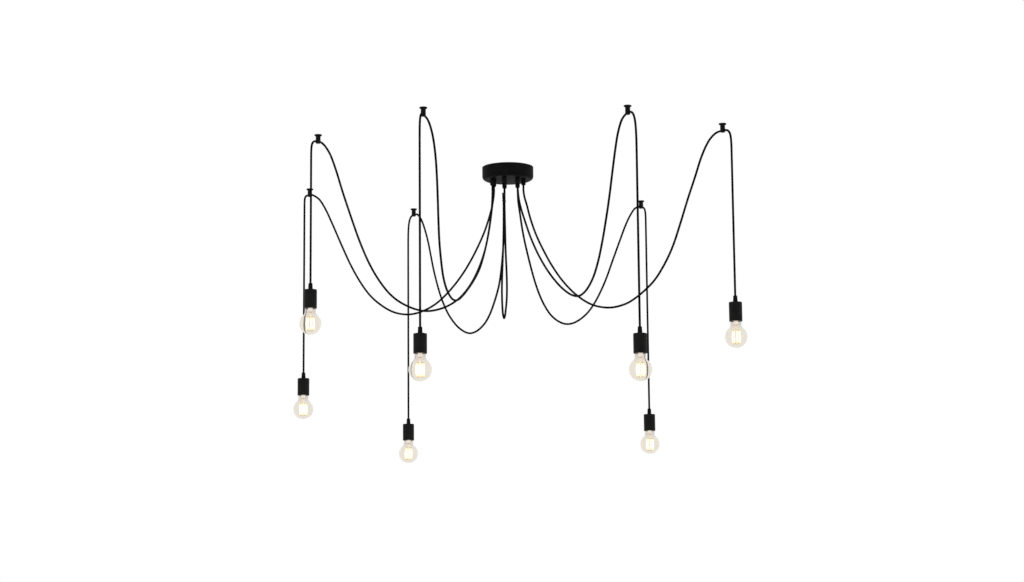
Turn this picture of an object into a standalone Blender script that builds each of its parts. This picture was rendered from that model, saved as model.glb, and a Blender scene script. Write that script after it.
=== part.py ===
# Pendant light: seven lamps on cords that swag from one canopy to hooks in the ceiling.
# Metres, +Z up. The origin is on the ceiling, at the centre of the canopy.

import math

import bmesh
import bpy
from mathutils import Matrix, Vector

# Clearances
FIT_GAP = 0.0003
CUT_OVERRUN = 0.002

# Canopy
CANOPY_DIAMETER = 0.155
CANOPY_HEIGHT = 0.039
CANOPY_WALL = 0.0012
CANOPY_EDGE_RADIUS = 0.011
CANOPY_EDGE_POINTS = 6
CANOPY_STEPS = 48

# Ceiling bracket, under the canopy
BRACKET_WIDTH = 0.022
BRACKET_THICKNESS = 0.002
BRACKET_LEG = 0.018
BRACKET_HOLE_RADIUS = 0.0024
BRACKET_HOLE_REACH = 0.048

# Canopy grub screws
GRUB_RADIUS = 0.002
GRUB_LENGTH = 0.008
GRUB_SOCKET_DEPTH = 0.002

# Terminal block and its screw
BLOCK_LENGTH = 0.040
BLOCK_WIDTH = 0.018
BLOCK_HEIGHT = 0.013
BLOCK_EDGE = 0.0008
WIRE_WAY_RADIUS = 0.0019
WIRE_WAYS = 3
BLOCK_SCREW_RADIUS = 0.0015
BLOCK_SCREW_HEAD_RADIUS = 0.003
BLOCK_SCREW_HEAD = 0.002

# Earth screw, in the bracket
EARTH_SCREW_REACH = 0.032
EARTH_SCREW_LENGTH = 0.009

# Cord
CORD_RADIUS = 0.0031
CORD_MAX_STEP = 0.032
CORD_MAX_TURN_DEG = 9.0
CORD_BEVEL_RESOLUTION = 2
CORD_TAIL = 0.006

# Cord grips on the canopy and on the lampholders
GRIP_STEM_RADIUS = 0.0048
GRIP_NUT_RADIUS = 0.0068
GRIP_NUT_HEIGHT = 0.003
CANOPY_GRIP_RADIUS = 0.007
CANOPY_GRIP_LENGTH = 0.016
CANOPY_GRIP_TIP_RADIUS = 0.0058
CANOPY_GRIP_TAPER = 0.004
HOLDER_GRIP_RADIUS = 0.0064
HOLDER_GRIP_LENGTH = 0.0182
HOLDER_GRIP_TIP_RADIUS = 0.0057
HOLDER_GRIP_TAPER = 0.0165
GRIP_STEPS = 12
GRIP_RING_RADIUS = 0.047
GRIP_SLOTS = 7

# Ceiling hooks
HOOK_FLANGE_RADIUS = 0.0107
HOOK_FLANGE_EDGE = 0.003
HOOK_TAPER = 0.002
HOOK_NECK_RADIUS = 0.0068
HOOK_BODY_RADIUS = 0.0071
HOOK_HEIGHT = 0.0255
HOOK_HOLE_DEPTH = 0.0205
HOOK_NOSE_RADIUS = 0.0055
HOOK_NOSE = 0.0014
HOOK_TRUMPET = 0.0006
HOOK_STUD_RADIUS = 0.0021
HOOK_STUD_DEPTH = 0.012
HOOK_STEPS = 16

# Lampholders
HOLDER_RADIUS = 0.01825
HOLDER_HEIGHT = 0.053
HOLDER_TOP_WALL = 0.003
HOLDER_EDGE = 0.0015
HOLDER_CHAMBER_RADIUS = 0.0120
HOLDER_CHAMBER_HEIGHT = 0.012
HOLDER_SHROUD_DEPTH = 0.010
HOLDER_STEPS = 20

# Bulbs
BULB_RADIUS = 0.031
BULB_DROP = 0.0741
BULB_EQUATOR = 0.0431
BULB_NECK_RADIUS = 0.0155
BULB_NECK_LENGTH = 0.0152
BULB_SHOULDER_DEG = 55.0
BULB_CAP_RADIUS = 0.0132
BULB_CAP_LENGTH = 0.022
BULB_TIP_RADIUS = 0.0055
BULB_TIP_HEIGHT = 0.003
BULB_PIPE_RADIUS = 0.0008
BULB_WALL = 0.001
BULB_ARC_POINTS = 7
BULB_STEPS = 14

# Spare lead's end sleeve and tie
SLEEVE_RADIUS = 0.0042
SLEEVE_LENGTH = 0.018
SLEEVE_COVER = 0.012
TIE_WALL = 0.0009
TIE_HEIGHT = 0.004
TIE_BELOW_SLEEVE = 0.006
TIE_STEPS = 6
SPARE_DEPTH = 0.416
SPARE_SPREAD = 0.040

# Layout: how far out the hooks are, how far the swags sag and how far the lamps hang
HOOK_REACH = 0.750
SWAG_DEPTH = 0.415
DROP_LENGTH = 0.600
DROP_STANDOFF = 0.030
CORD_STRAIGHT = 0.002

# Each lamp: the hook's bearing in degrees, then shares of HOOK_REACH, SWAG_DEPTH, DROP_LENGTH
# and DROP_STANDOFF, and the grip's slot round the canopy.
LAMP_SHARES = {
    1: {"bearing": 50.3, "reach": 0.902, "swag": 0.95, "drop": 1.127, "standoff": 0.80, "slot": 1},
    2: {"bearing": 116.8, "reach": 0.923, "swag": 1.00, "drop": 1.147, "standoff": 1.45, "slot": 2},
    3: {"bearing": 155.4, "reach": 0.917, "swag": 0.894, "drop": 0.968, "standoff": 0.64, "slot": 3},
    4: {"bearing": 220.3, "reach": 0.938, "swag": 0.993, "drop": 0.713, "standoff": 0.82, "slot": 3.5},
    5: {"bearing": 253.57, "reach": 1.065, "swag": 1.027, "drop": 1.005, "standoff": 1.20, "slot": 4},
    6: {"bearing": 293.1, "reach": 1.110, "swag": 0.998, "drop": 1.016, "standoff": 1.73, "slot": 6},
    7: {"bearing": 317.8, "reach": 1.085, "swag": 1.002, "drop": 0.816, "standoff": 1.00, "slot": 7},
}
SPARE_SLOT = 5

# Each swag's route: how far along from the grip to the hook, and how far down from the grip's
# mouth as a share of the swag's depth.
SWAG_ROUTE_SHARES = {
    1: [(0.001, 0.040), (0.003, 0.100), (0.014, 0.185), (0.039, 0.355), (0.071, 0.505),
        (0.117, 0.684), (0.153, 0.792), (0.196, 0.883), (0.250, 0.955), (0.312, 0.993),
        (0.371, 1.000), (0.436, 0.974), (0.527, 0.892), (0.600, 0.781), (0.682, 0.603),
        (0.745, 0.427), (0.815, 0.230), (0.868, 0.086), (0.906, 0.003), (0.946, -0.062)],
    2: [(0.000, 0.050), (0.003, 0.165), (0.009, 0.300), (0.023, 0.475), (0.041, 0.600),
        (0.060, 0.690), (0.084, 0.757), (0.116, 0.824), (0.158, 0.896), (0.209, 0.952),
        (0.284, 0.992), (0.357, 1.000), (0.410, 0.984), (0.456, 0.957), (0.511, 0.913),
        (0.579, 0.837), (0.630, 0.762), (0.692, 0.638), (0.764, 0.435), (0.837, 0.163),
        (0.886, 0.030), (0.920, -0.034), (0.957, -0.074)],
    3: [(0.000, 0.045), (0.005, 0.115), (0.018, 0.207), (0.048, 0.352), (0.076, 0.452),
        (0.117, 0.576), (0.168, 0.702), (0.233, 0.825), (0.310, 0.930), (0.390, 0.987),
        (0.460, 1.000), (0.537, 0.970), (0.612, 0.893), (0.665, 0.812), (0.718, 0.693),
        (0.771, 0.540), (0.824, 0.355), (0.873, 0.175), (0.912, 0.041), (0.948, -0.050)],
    4: [(0.000, 0.050), (0.005, 0.170), (0.023, 0.338), (0.048, 0.490), (0.091, 0.647),
        (0.143, 0.775), (0.212, 0.884), (0.308, 0.965), (0.412, 1.000), (0.520, 0.974),
        (0.598, 0.918), (0.666, 0.823), (0.720, 0.714), (0.773, 0.567), (0.822, 0.400),
        (0.866, 0.240), (0.905, 0.086), (0.938, -0.018), (0.968, -0.069)],
    5: [(0.002, 0.045), (0.010, 0.095), (0.032, 0.185), (0.081, 0.359), (0.145, 0.520),
        (0.222, 0.665), (0.305, 0.770), (0.395, 0.861), (0.485, 0.940), (0.558, 0.988),
        (0.618, 1.000), (0.668, 0.983), (0.713, 0.945), (0.750, 0.880), (0.776, 0.785),
        (0.797, 0.670), (0.808, 0.540), (0.816, 0.395), (0.827, 0.250), (0.843, 0.130),
        (0.872, 0.024), (0.905, -0.036), (0.942, -0.071)],
    6: [(0.001, 0.040), (0.010, 0.118), (0.028, 0.190), (0.074, 0.320), (0.127, 0.454),
        (0.194, 0.591), (0.276, 0.727), (0.360, 0.840), (0.436, 0.922), (0.507, 0.978),
        (0.570, 1.000), (0.630, 0.979), (0.688, 0.916), (0.732, 0.825), (0.770, 0.706),
        (0.806, 0.562), (0.839, 0.410), (0.866, 0.262), (0.891, 0.130), (0.918, 0.015),
        (0.951, -0.058)],
    7: [(0.000, 0.040), (0.005, 0.090), (0.016, 0.145), (0.035, 0.253), (0.064, 0.379),
        (0.103, 0.506), (0.149, 0.634), (0.207, 0.763), (0.276, 0.876), (0.355, 0.961),
        (0.445, 1.000), (0.522, 0.990), (0.562, 0.966), (0.612, 0.921), (0.665, 0.855), (0.713, 0.758),
        (0.752, 0.652), (0.791, 0.502), (0.829, 0.342), (0.866, 0.197), (0.902, 0.054),
        (0.936, -0.036), (0.966, -0.075)],
}

# The bend of each drop beside its hook: out and down, as shares of what the stand-off leaves
# beyond the hook's mouth.
DROP_BEND_SHARES = [(0.30, 0.06), (0.55, 0.22), (0.74, 0.48), (0.87, 0.85), (0.95, 1.35), (0.99, 2.0),
                    (1.0, 2.8)]

# The spare lead hangs from its grip in a narrow loop and comes up beside itself: right and back
# as shares of SPARE_SPREAD, and down as a share of SPARE_DEPTH.
SPARE_ROUTE_SHARES = [
    (0.000, 0.000, 0.048), (0.000, 0.000, 0.180), (0.025, 0.025, 0.349), (0.050, 0.075, 0.500),
    (0.100, 0.150, 0.637), (0.125, 0.200, 0.757), (0.100, 0.200, 0.853), (0.025, 0.075, 0.930),
    (-0.040, -0.125, 0.981), (-0.110, -0.350, 1.000), (-0.178, -0.600, 0.981),
    (-0.225, -0.825, 0.925), (-0.250, -0.950, 0.829), (-0.228, -1.000, 0.721),
    (-0.172, -0.900, 0.589), (-0.112, -0.700, 0.445), (-0.084, -0.435, 0.313),
    (-0.074, -0.225, 0.216), (-0.072, -0.180, 0.178), (-0.072, -0.180, 0.148),
    (-0.072, -0.180, 0.096),
]

# Sizes that follow from those above
CANOPY_RADIUS = CANOPY_DIAMETER / 2
CORD_BORE_RADIUS = CORD_RADIUS + FIT_GAP
GRIP_MOUTH_Z = -CANOPY_HEIGHT - CANOPY_GRIP_LENGTH
HOLDER_THREAD_RADIUS = BULB_CAP_RADIUS + FIT_GAP
HOLDER_SHROUD_RADIUS = BULB_NECK_RADIUS + 2 * FIT_GAP
HOOK_MOUTH = HOOK_BODY_RADIUS + CORD_STRAIGHT
HOOK_BORE_HALF = HOOK_BODY_RADIUS - 2 * HOOK_TRUMPET


def clear_scene():
    for obj in list(bpy.data.objects):
        bpy.data.objects.remove(obj, do_unlink=True)


def new_collection(name):
    collection = bpy.data.collections.new(name)
    bpy.context.scene.collection.children.link(collection)
    return collection


def finish(name, colour, roughness, metallic=0.0, transmission=0.0):
    mat = bpy.data.materials.new(name)
    mat.use_nodes = True
    shader = mat.node_tree.nodes["Principled BSDF"]
    shader.inputs["Base Color"].default_value = (*colour, 1.0)
    shader.inputs["Roughness"].default_value = roughness
    shader.inputs["Metallic"].default_value = metallic
    shader.inputs["Transmission Weight"].default_value = transmission
    mat.diffuse_color = (*colour, 1.0)
    return mat


def add_object(name, data, mat=None, parent=None, location=(0, 0, 0), turn=0.0):
    obj = bpy.data.objects.new(name, data)
    if mat is None:
        CUTTERS.objects.link(obj)
        obj.hide_render = True
        obj.display_type = "WIRE"
    else:
        PARTS.objects.link(obj)
        data.materials.append(mat)
    obj.parent = parent
    obj.location = location
    obj.rotation_euler = (0, 0, turn)
    return obj


def add_pivot(name, location, turn=0.0, parent=None):
    pivot = bpy.data.objects.new(name, None)
    PARTS.objects.link(pivot)
    pivot.parent = parent
    pivot.location = location
    pivot.rotation_euler = (0, 0, turn)
    return pivot


def profile_mesh(name, outline, closed):
    # The outline runs down its outer side, and back up inside.
    bm = bmesh.new()
    verts = [bm.verts.new((radius, 0, height)) for radius, height in outline]
    for first, second in zip(verts, verts[1:]):
        bm.edges.new((first, second))
    if closed:
        bm.edges.new((verts[-1], verts[0]))
    mesh = bpy.data.meshes.new(name)
    bm.to_mesh(mesh)
    bm.free()
    return mesh


def spin(obj, steps):
    screw = obj.modifiers.new("turned", "SCREW")
    screw.axis = "Z"
    screw.steps = steps
    screw.render_steps = steps
    screw.use_merge_vertices = True
    screw.merge_threshold = 0.00001
    screw.use_smooth_shade = True


def turned(name, outline, steps, mat=None, closed=True, **placing):
    obj = add_object(name, profile_mesh(name, outline, closed), mat, **placing)
    spin(obj, steps)
    return obj


def cut(obj, *cutters):
    for cutter in cutters:
        boolean = obj.modifiers.new("cut", "BOOLEAN")
        boolean.operation = "DIFFERENCE"
        boolean.solver = "EXACT"
        boolean.object = cutter


def rods_mesh(name, rods, segments):
    # Closed cylinders in one mesh, each given by its centre, radius, length and direction.
    bm = bmesh.new()
    for centre, radius, length, direction in rods:
        turn = Vector((0, 0, 1)).rotation_difference(Vector(direction)).to_matrix().to_4x4()
        bmesh.ops.create_cone(
            bm, cap_ends=True, segments=segments, radius1=radius, radius2=radius, depth=length,
            matrix=Matrix.Translation(centre) @ turn)
    mesh = bpy.data.meshes.new(name)
    bm.to_mesh(mesh)
    bm.free()
    return mesh


def box_mesh(name, size):
    bm = bmesh.new()
    bmesh.ops.create_cube(bm, size=1.0, matrix=Matrix.Diagonal((*size, 1.0)))
    mesh = bpy.data.meshes.new(name)
    bm.to_mesh(mesh)
    bm.free()
    return mesh


def flat_curve(name, outlines, half_thickness):
    data = bpy.data.curves.new(name, "CURVE")
    data.dimensions = "2D"
    data.fill_mode = "BOTH"
    data.extrude = half_thickness
    for outline in outlines:
        spline = data.splines.new("POLY")
        spline.points.add(len(outline) - 1)
        spline.use_cyclic_u = True
        for point, (x, y) in zip(spline.points, outline):
            point.co = (x, y, 0, 1)
    return data


def made_mesh(obj, mat, merge=0.00001):
    # Turns a curve object into a mesh object of the same name and place.
    bpy.context.view_layer.update()
    graph = bpy.context.evaluated_depsgraph_get()
    mesh = bpy.data.meshes.new_from_object(obj.evaluated_get(graph))
    place = obj.matrix_world.copy()
    name = obj.name
    bpy.data.objects.remove(obj, do_unlink=True)
    bm = bmesh.new()
    bm.from_mesh(mesh)
    bmesh.ops.remove_doubles(bm, verts=bm.verts, dist=merge)
    bmesh.ops.recalc_face_normals(bm, faces=bm.faces)
    bm.to_mesh(mesh)
    bm.free()
    mesh.materials.clear()
    made = add_object(name, mesh, mat)
    made.matrix_world = place
    return made


def smooth_curve(points, pieces=24):
    # A centripetal Catmull-Rom curve through the points, as many short chords.
    points = [Vector(point) for point in points]
    ends = [2 * points[0] - points[1]] + points + [2 * points[-1] - points[-2]]
    chords = []
    for p0, p1, p2, p3 in zip(ends, ends[1:], ends[2:], ends[3:]):
        t1 = math.sqrt((p1 - p0).length)
        t2 = t1 + math.sqrt((p2 - p1).length)
        t3 = t2 + math.sqrt((p3 - p2).length)
        for step in range(pieces):
            t = t1 + (t2 - t1) * step / pieces
            a1 = p0 * ((t1 - t) / t1) + p1 * (t / t1)
            a2 = p1 * ((t2 - t) / (t2 - t1)) + p2 * ((t - t1) / (t2 - t1))
            a3 = p2 * ((t3 - t) / (t3 - t2)) + p3 * ((t - t2) / (t3 - t2))
            b1 = a1 * ((t2 - t) / t2) + a2 * (t / t2)
            b2 = a2 * ((t3 - t) / (t3 - t1)) + a3 * ((t - t1) / (t3 - t1))
            chords.append(b1 * ((t2 - t) / (t2 - t1)) + b2 * ((t - t1) / (t2 - t1)))
    chords.append(points[-1])
    return chords


def spaced(chords):
    # Keeps a point wherever the curve has run or turned far enough since the last one.
    kept = [chords[0]]
    heading = chords[1] - chords[0]
    for before, here, after in zip(chords, chords[1:], chords[2:]):
        run = (here - kept[-1]).length
        turn = math.degrees(heading.angle(after - here, 0.0))
        if run > CORD_MAX_STEP or (turn > CORD_MAX_TURN_DEG and run > CORD_RADIUS):
            kept.append(here)
            heading = after - here
    if (chords[-1] - kept[-1]).length < CORD_RADIUS:
        kept.pop()
    kept.append(chords[-1])
    return kept


def cord(name, route, mat, parent=None):
    data = bpy.data.curves.new(name, "CURVE")
    data.dimensions = "3D"
    data.bevel_depth = CORD_RADIUS
    data.bevel_resolution = CORD_BEVEL_RESOLUTION
    data.use_fill_caps = True
    points = spaced(smooth_curve(route))
    spline = data.splines.new("POLY")
    spline.points.add(len(points) - 1)
    for knot, point in zip(spline.points, points):
        knot.co = (*point, 1)
        knot.radius = 1.0
    spline.use_smooth = True
    return add_object(name, data, mat, parent)


def canopy_edge(bend):
    # The rounded lower edge, from the wall down to the underside.
    points = []
    for step in range(CANOPY_EDGE_POINTS + 1):
        angle = 0.5 * math.pi * step / CANOPY_EDGE_POINTS
        out = CANOPY_RADIUS - CANOPY_EDGE_RADIUS + bend * math.cos(angle)
        points.append((out, -CANOPY_HEIGHT + CANOPY_EDGE_RADIUS - bend * math.sin(angle)))
    return points


def build_canopy(mat, slots):
    inner = CANOPY_RADIUS - CANOPY_WALL
    outline = [
        (0, -CANOPY_HEIGHT + CANOPY_WALL), *reversed(canopy_edge(CANOPY_EDGE_RADIUS - CANOPY_WALL)),
        (inner, 0), (CANOPY_RADIUS, 0), *canopy_edge(CANOPY_EDGE_RADIUS), (0, -CANOPY_HEIGHT),
    ]
    cup = turned("canopy_cup", outline, CANOPY_STEPS, mat, closed=False)
    hole = GRIP_STEM_RADIUS + FIT_GAP
    depth = CANOPY_WALL + 2 * CUT_OVERRUN
    middle = -CANOPY_HEIGHT + CANOPY_WALL / 2
    rods = [((*slot_place(slot), middle), hole, depth, (0, 0, 1)) for slot in slots]
    grub_hole = GRUB_RADIUS + FIT_GAP
    for side in (-1, 1):
        place = (side * (CANOPY_RADIUS - CANOPY_WALL / 2), 0, grub_height())
        rods.append((place, grub_hole, depth, (1, 0, 0)))
    cut(cup, add_object("canopy_holes", rods_mesh("canopy_holes", rods, GRIP_STEPS)))


def grub_height():
    return -BRACKET_LEG + 2.5 * GRUB_RADIUS


def slot_place(slot):
    angle = 2 * math.pi * slot / GRIP_SLOTS
    return GRIP_RING_RADIUS * math.cos(angle), GRIP_RING_RADIUS * math.sin(angle)


def build_bracket(mat):
    outer = CANOPY_RADIUS - CANOPY_WALL - FIT_GAP
    leg = outer - BRACKET_THICKNESS
    outline = [
        (-outer, 0), (-outer, -BRACKET_LEG), (-leg, -BRACKET_LEG), (-leg, -BRACKET_THICKNESS),
        (leg, -BRACKET_THICKNESS), (leg, -BRACKET_LEG), (outer, -BRACKET_LEG), (outer, 0),
    ]
    # The ends of the legs stay inside the round wall of the canopy.
    curve = flat_curve("ceiling_bracket", [outline], BRACKET_WIDTH / 2)
    strip = add_object("ceiling_bracket", curve, mat)
    strip.rotation_euler = (math.pi / 2, 0, 0)
    bracket = made_mesh(strip, mat)
    grub_hole = GRUB_RADIUS + FIT_GAP
    through = BRACKET_THICKNESS + 2 * CUT_OVERRUN
    rods = []
    for side in (-1, 1):
        reach = side * BRACKET_HOLE_REACH
        rods.append(((reach, 0, -BRACKET_THICKNESS / 2), BRACKET_HOLE_RADIUS, through, (0, 0, 1)))
        legs = (side * (outer - BRACKET_THICKNESS / 2), 0, grub_height())
        rods.append((legs, grub_hole, through, (1, 0, 0)))
    screw = (block_screw_place(), 0, -BRACKET_THICKNESS / 2)
    rods.append((screw, BLOCK_SCREW_RADIUS + FIT_GAP, through, (0, 0, 1)))
    earth = (-EARTH_SCREW_REACH, 0, -BRACKET_THICKNESS / 2)
    rods.append((earth, BLOCK_SCREW_RADIUS + FIT_GAP, through, (0, 0, 1)))
    low = -BRACKET_LEG - CUT_OVERRUN
    wide = CANOPY_RADIUS + CUT_OVERRUN
    trim = [(wide, CUT_OVERRUN), (wide, low), (outer, low), (outer, CUT_OVERRUN)]
    ring = turned("bracket_trim", trim, CANOPY_STEPS)
    cut(bracket, ring, add_object("bracket_holes", rods_mesh("bracket_holes", rods, GRIP_STEPS)))


def block_screw_place():
    return 0.5 * BLOCK_LENGTH - 1.5 * BLOCK_SCREW_HEAD_RADIUS


def build_grub_screws(mat):
    start = CANOPY_RADIUS
    for number, turn in ((1, 0.0), (2, math.pi)):
        rod = rods_mesh("grub", [((0, 0, 0), GRUB_RADIUS, GRUB_LENGTH, (0, 0, 1))], GRIP_STEPS)
        reach = start - GRUB_LENGTH / 2
        place = (reach * math.cos(turn), reach * math.sin(turn), grub_height())
        screw = add_object(f"canopy_screw_{number}", rod, mat, location=place)
        screw.rotation_euler = (0, math.pi / 2, turn)
        half = GRUB_LENGTH / 2
        socket = add_object(
            f"grub_socket_{number}",
            rods_mesh("socket", [((0, 0, half), GRUB_RADIUS / 2, 2 * GRUB_SOCKET_DEPTH, (0, 0, 1))], 6),
            location=place)
        socket.rotation_euler = screw.rotation_euler
        cut(screw, socket)


def build_terminal_block(block_mat, screw_mat):
    top = -BRACKET_THICKNESS - FIT_GAP
    middle = top - BLOCK_HEIGHT / 2
    size = (BLOCK_LENGTH, BLOCK_WIDTH, BLOCK_HEIGHT)
    block = add_object("terminal_block", box_mesh("terminal_block", size), block_mat,
                       location=(0, 0, middle))
    bevel = block.modifiers.new("edges", "BEVEL")
    bevel.width = BLOCK_EDGE
    bevel.segments = 1
    screw_x = block_screw_place()
    screw_room = 2 * BLOCK_SCREW_HEAD_RADIUS + 2 * BLOCK_EDGE
    usable = BLOCK_LENGTH - screw_room
    pitch = usable / WIRE_WAYS
    rods = []
    for way in range(WIRE_WAYS):
        x = -BLOCK_LENGTH / 2 + pitch * (way + 0.5)
        rods.append(((x, 0, 0), WIRE_WAY_RADIUS, BLOCK_WIDTH + 2 * CUT_OVERRUN, (0, 1, 0)))
    rods.append(((screw_x, 0, 0), BLOCK_SCREW_RADIUS + FIT_GAP, BLOCK_HEIGHT + 2 * CUT_OVERRUN, (0, 0, 1)))
    ways = add_object("block_ways", rods_mesh("block_ways", rods, 10), location=(0, 0, middle))
    cut(block, ways)
    turned("terminal_screw", screw_outline(top - BLOCK_HEIGHT - FIT_GAP), GRIP_STEPS, screw_mat,
           closed=False, location=(screw_x, 0, 0))
    seat = -BRACKET_THICKNESS - EARTH_SCREW_LENGTH
    turned("earth_screw", screw_outline(seat), GRIP_STEPS, screw_mat, closed=False,
           location=(-EARTH_SCREW_REACH, 0, 0))


def screw_outline(seat):
    # A screw driven up into the bracket, with the underside of its head at the seat's height.
    head_low = seat - BLOCK_SCREW_HEAD
    edge = BLOCK_SCREW_HEAD / 3
    tip = -BRACKET_THICKNESS / 4
    return [
        (0, tip), (BLOCK_SCREW_RADIUS, tip), (BLOCK_SCREW_RADIUS, seat),
        (BLOCK_SCREW_HEAD_RADIUS, seat), (BLOCK_SCREW_HEAD_RADIUS, head_low + edge),
        (BLOCK_SCREW_HEAD_RADIUS - edge, head_low), (0, head_low),
    ]


def grip_outline(wall, radius, length, tip_radius, taper):
    # Standing tip down below a wall whose lower face is at zero; the nut is above the wall.
    nut_low = wall + FIT_GAP
    nut_top = nut_low + GRIP_NUT_HEIGHT
    return [
        (GRIP_NUT_RADIUS, nut_top), (GRIP_NUT_RADIUS, nut_low), (GRIP_STEM_RADIUS, nut_low),
        (GRIP_STEM_RADIUS, -FIT_GAP), (radius, -FIT_GAP), (radius, taper - length),
        (tip_radius, -length), (CORD_BORE_RADIUS, -length), (CORD_BORE_RADIUS, nut_top),
    ]


def build_canopy_grips(mat, slots):
    outline = grip_outline(CANOPY_WALL, CANOPY_GRIP_RADIUS, CANOPY_GRIP_LENGTH,
                           CANOPY_GRIP_TIP_RADIUS, CANOPY_GRIP_TAPER)
    for number, slot in enumerate(slots, 1):
        place = (*slot_place(slot), -CANOPY_HEIGHT)
        turned(f"canopy_grip_{number}", outline, GRIP_STEPS, mat, location=place)


def hook_outline():
    body_top = -HOOK_FLANGE_EDGE - HOOK_TAPER
    nose_top = -HOOK_HEIGHT + HOOK_NOSE
    edge = HOOK_FLANGE_EDGE / 4
    stud_floor = -HOOK_STUD_DEPTH
    return [
        (0, stud_floor), (HOOK_STUD_RADIUS, stud_floor), (HOOK_STUD_RADIUS, 0),
        (HOOK_FLANGE_RADIUS - edge, 0), (HOOK_FLANGE_RADIUS, -edge),
        (HOOK_FLANGE_RADIUS, -HOOK_FLANGE_EDGE), (HOOK_NECK_RADIUS, body_top),
        (HOOK_BODY_RADIUS, -HOOK_HOLE_DEPTH), (HOOK_BODY_RADIUS, nose_top),
        (HOOK_NOSE_RADIUS, -HOOK_HEIGHT), (0, -HOOK_HEIGHT),
    ]


def hook_hole_outline():
    # The cord's way through the hook, lying along X once it is turned: a bore with wide mouths.
    reach = HOOK_BODY_RADIUS + CUT_OVERRUN
    wide = CORD_BORE_RADIUS + HOOK_TRUMPET
    return [
        (0, reach), (wide + HOOK_TRUMPET, reach), (wide, HOOK_BODY_RADIUS),
        (CORD_BORE_RADIUS, HOOK_BORE_HALF), (CORD_BORE_RADIUS, -HOOK_BORE_HALF),
        (wide, -HOOK_BODY_RADIUS), (wide + HOOK_TRUMPET, -reach), (0, -reach),
    ]


def build_hook(number, lamp, mat):
    hook = turned(f"ceiling_hook_{number}", hook_outline(), HOOK_STEPS, mat, closed=False,
                  location=lamp["hook"], turn=lamp["turn"])
    hole = turned(f"hook_hole_{number}", hook_hole_outline(), GRIP_STEPS, closed=False,
                  location=lamp["pivot"])
    hole.rotation_euler = (0, math.pi / 2, lamp["turn"])
    cut(hook, hole)


def lamp_places(shares):
    turn = math.radians(shares["bearing"])
    reach = HOOK_REACH * shares["reach"]
    hook = Vector((reach * math.cos(turn), reach * math.sin(turn), 0))
    grip = Vector((*slot_place(shares["slot"]), GRIP_MOUTH_Z))
    away = Vector((hook.x - grip.x, hook.y - grip.y, 0))
    return {
        "hook": hook,
        "grip": grip,
        "away": away,
        "turn": math.atan2(away.y, away.x),
        "pivot": hook + Vector((0, 0, -HOOK_HOLE_DEPTH)),
        "depth": SWAG_DEPTH * shares["swag"],
        "drop": DROP_LENGTH * shares["drop"],
        "standoff": DROP_STANDOFF * shares["standoff"],
    }


def swag_route(number, lamp):
    # Starts inside the canopy, goes down through the grip and ends in the middle of the hook.
    tail = Vector((0, 0, CANOPY_GRIP_LENGTH + CANOPY_WALL + GRIP_NUT_HEIGHT + CORD_TAIL))
    heading = lamp["away"].normalized()
    route = [lamp["grip"] + tail, lamp["grip"]]
    for along, down in SWAG_ROUTE_SHARES[number]:
        route.append(lamp["grip"] + lamp["away"] * along - Vector((0, 0, lamp["depth"] * down)))
    for reach in (HOOK_MOUTH, HOOK_BORE_HALF, FIT_GAP / 2):
        route.append(lamp["pivot"] - heading * reach)
    return route


def drop_route(lamp):
    # In the lamp's own frame: X runs out through the hook, and the lamp hangs on -Z.
    reach = lamp["standoff"] - HOOK_MOUTH
    route = [(FIT_GAP / 2, 0, 0), (HOOK_BORE_HALF, 0, 0), (HOOK_MOUTH, 0, 0)]
    for out, down in DROP_BEND_SHARES:
        route.append((HOOK_MOUTH + out * reach, 0, -down * reach))
    bottom = -lamp["drop"] - HOLDER_TOP_WALL - GRIP_NUT_HEIGHT - CORD_TAIL
    last = -DROP_BEND_SHARES[-1][1] * reach
    for share in (0.25, 0.5, 0.75, 1.0):
        route.append((lamp["standoff"], 0, last + (bottom - last) * share))
    return route


def holder_outline():
    # Zero is the top face; the bulb screws in from below.
    edge = HOLDER_EDGE
    hole = GRIP_STEM_RADIUS + FIT_GAP
    chamber_low = -HOLDER_TOP_WALL - HOLDER_CHAMBER_HEIGHT
    shroud_top = -HOLDER_HEIGHT + HOLDER_SHROUD_DEPTH
    return [
        (hole, 0), (HOLDER_RADIUS - edge, 0), (HOLDER_RADIUS, -edge),
        (HOLDER_RADIUS, -HOLDER_HEIGHT), (HOLDER_SHROUD_RADIUS, -HOLDER_HEIGHT),
        (HOLDER_SHROUD_RADIUS, shroud_top), (HOLDER_THREAD_RADIUS, shroud_top),
        (HOLDER_THREAD_RADIUS, chamber_low), (HOLDER_CHAMBER_RADIUS, chamber_low),
        (HOLDER_CHAMBER_RADIUS, -HOLDER_TOP_WALL), (hole, -HOLDER_TOP_WALL),
    ]


def bulb_arc(inset):
    # Shoulder, equator and end of the glass, from the neck to the axis.
    points = []
    for step in range(BULB_ARC_POINTS):
        share = step / (BULB_ARC_POINTS - 1)
        angle = math.radians(BULB_SHOULDER_DEG + (-90 - BULB_SHOULDER_DEG) * share)
        upright = BULB_RADIUS if angle > 0 else BULB_DROP - BULB_EQUATOR
        radius = (BULB_RADIUS - inset) * math.cos(angle)
        points.append((radius, -BULB_EQUATOR + (upright - inset) * math.sin(angle)))
    points[-1] = (0, points[-1][1])
    return points


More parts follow.
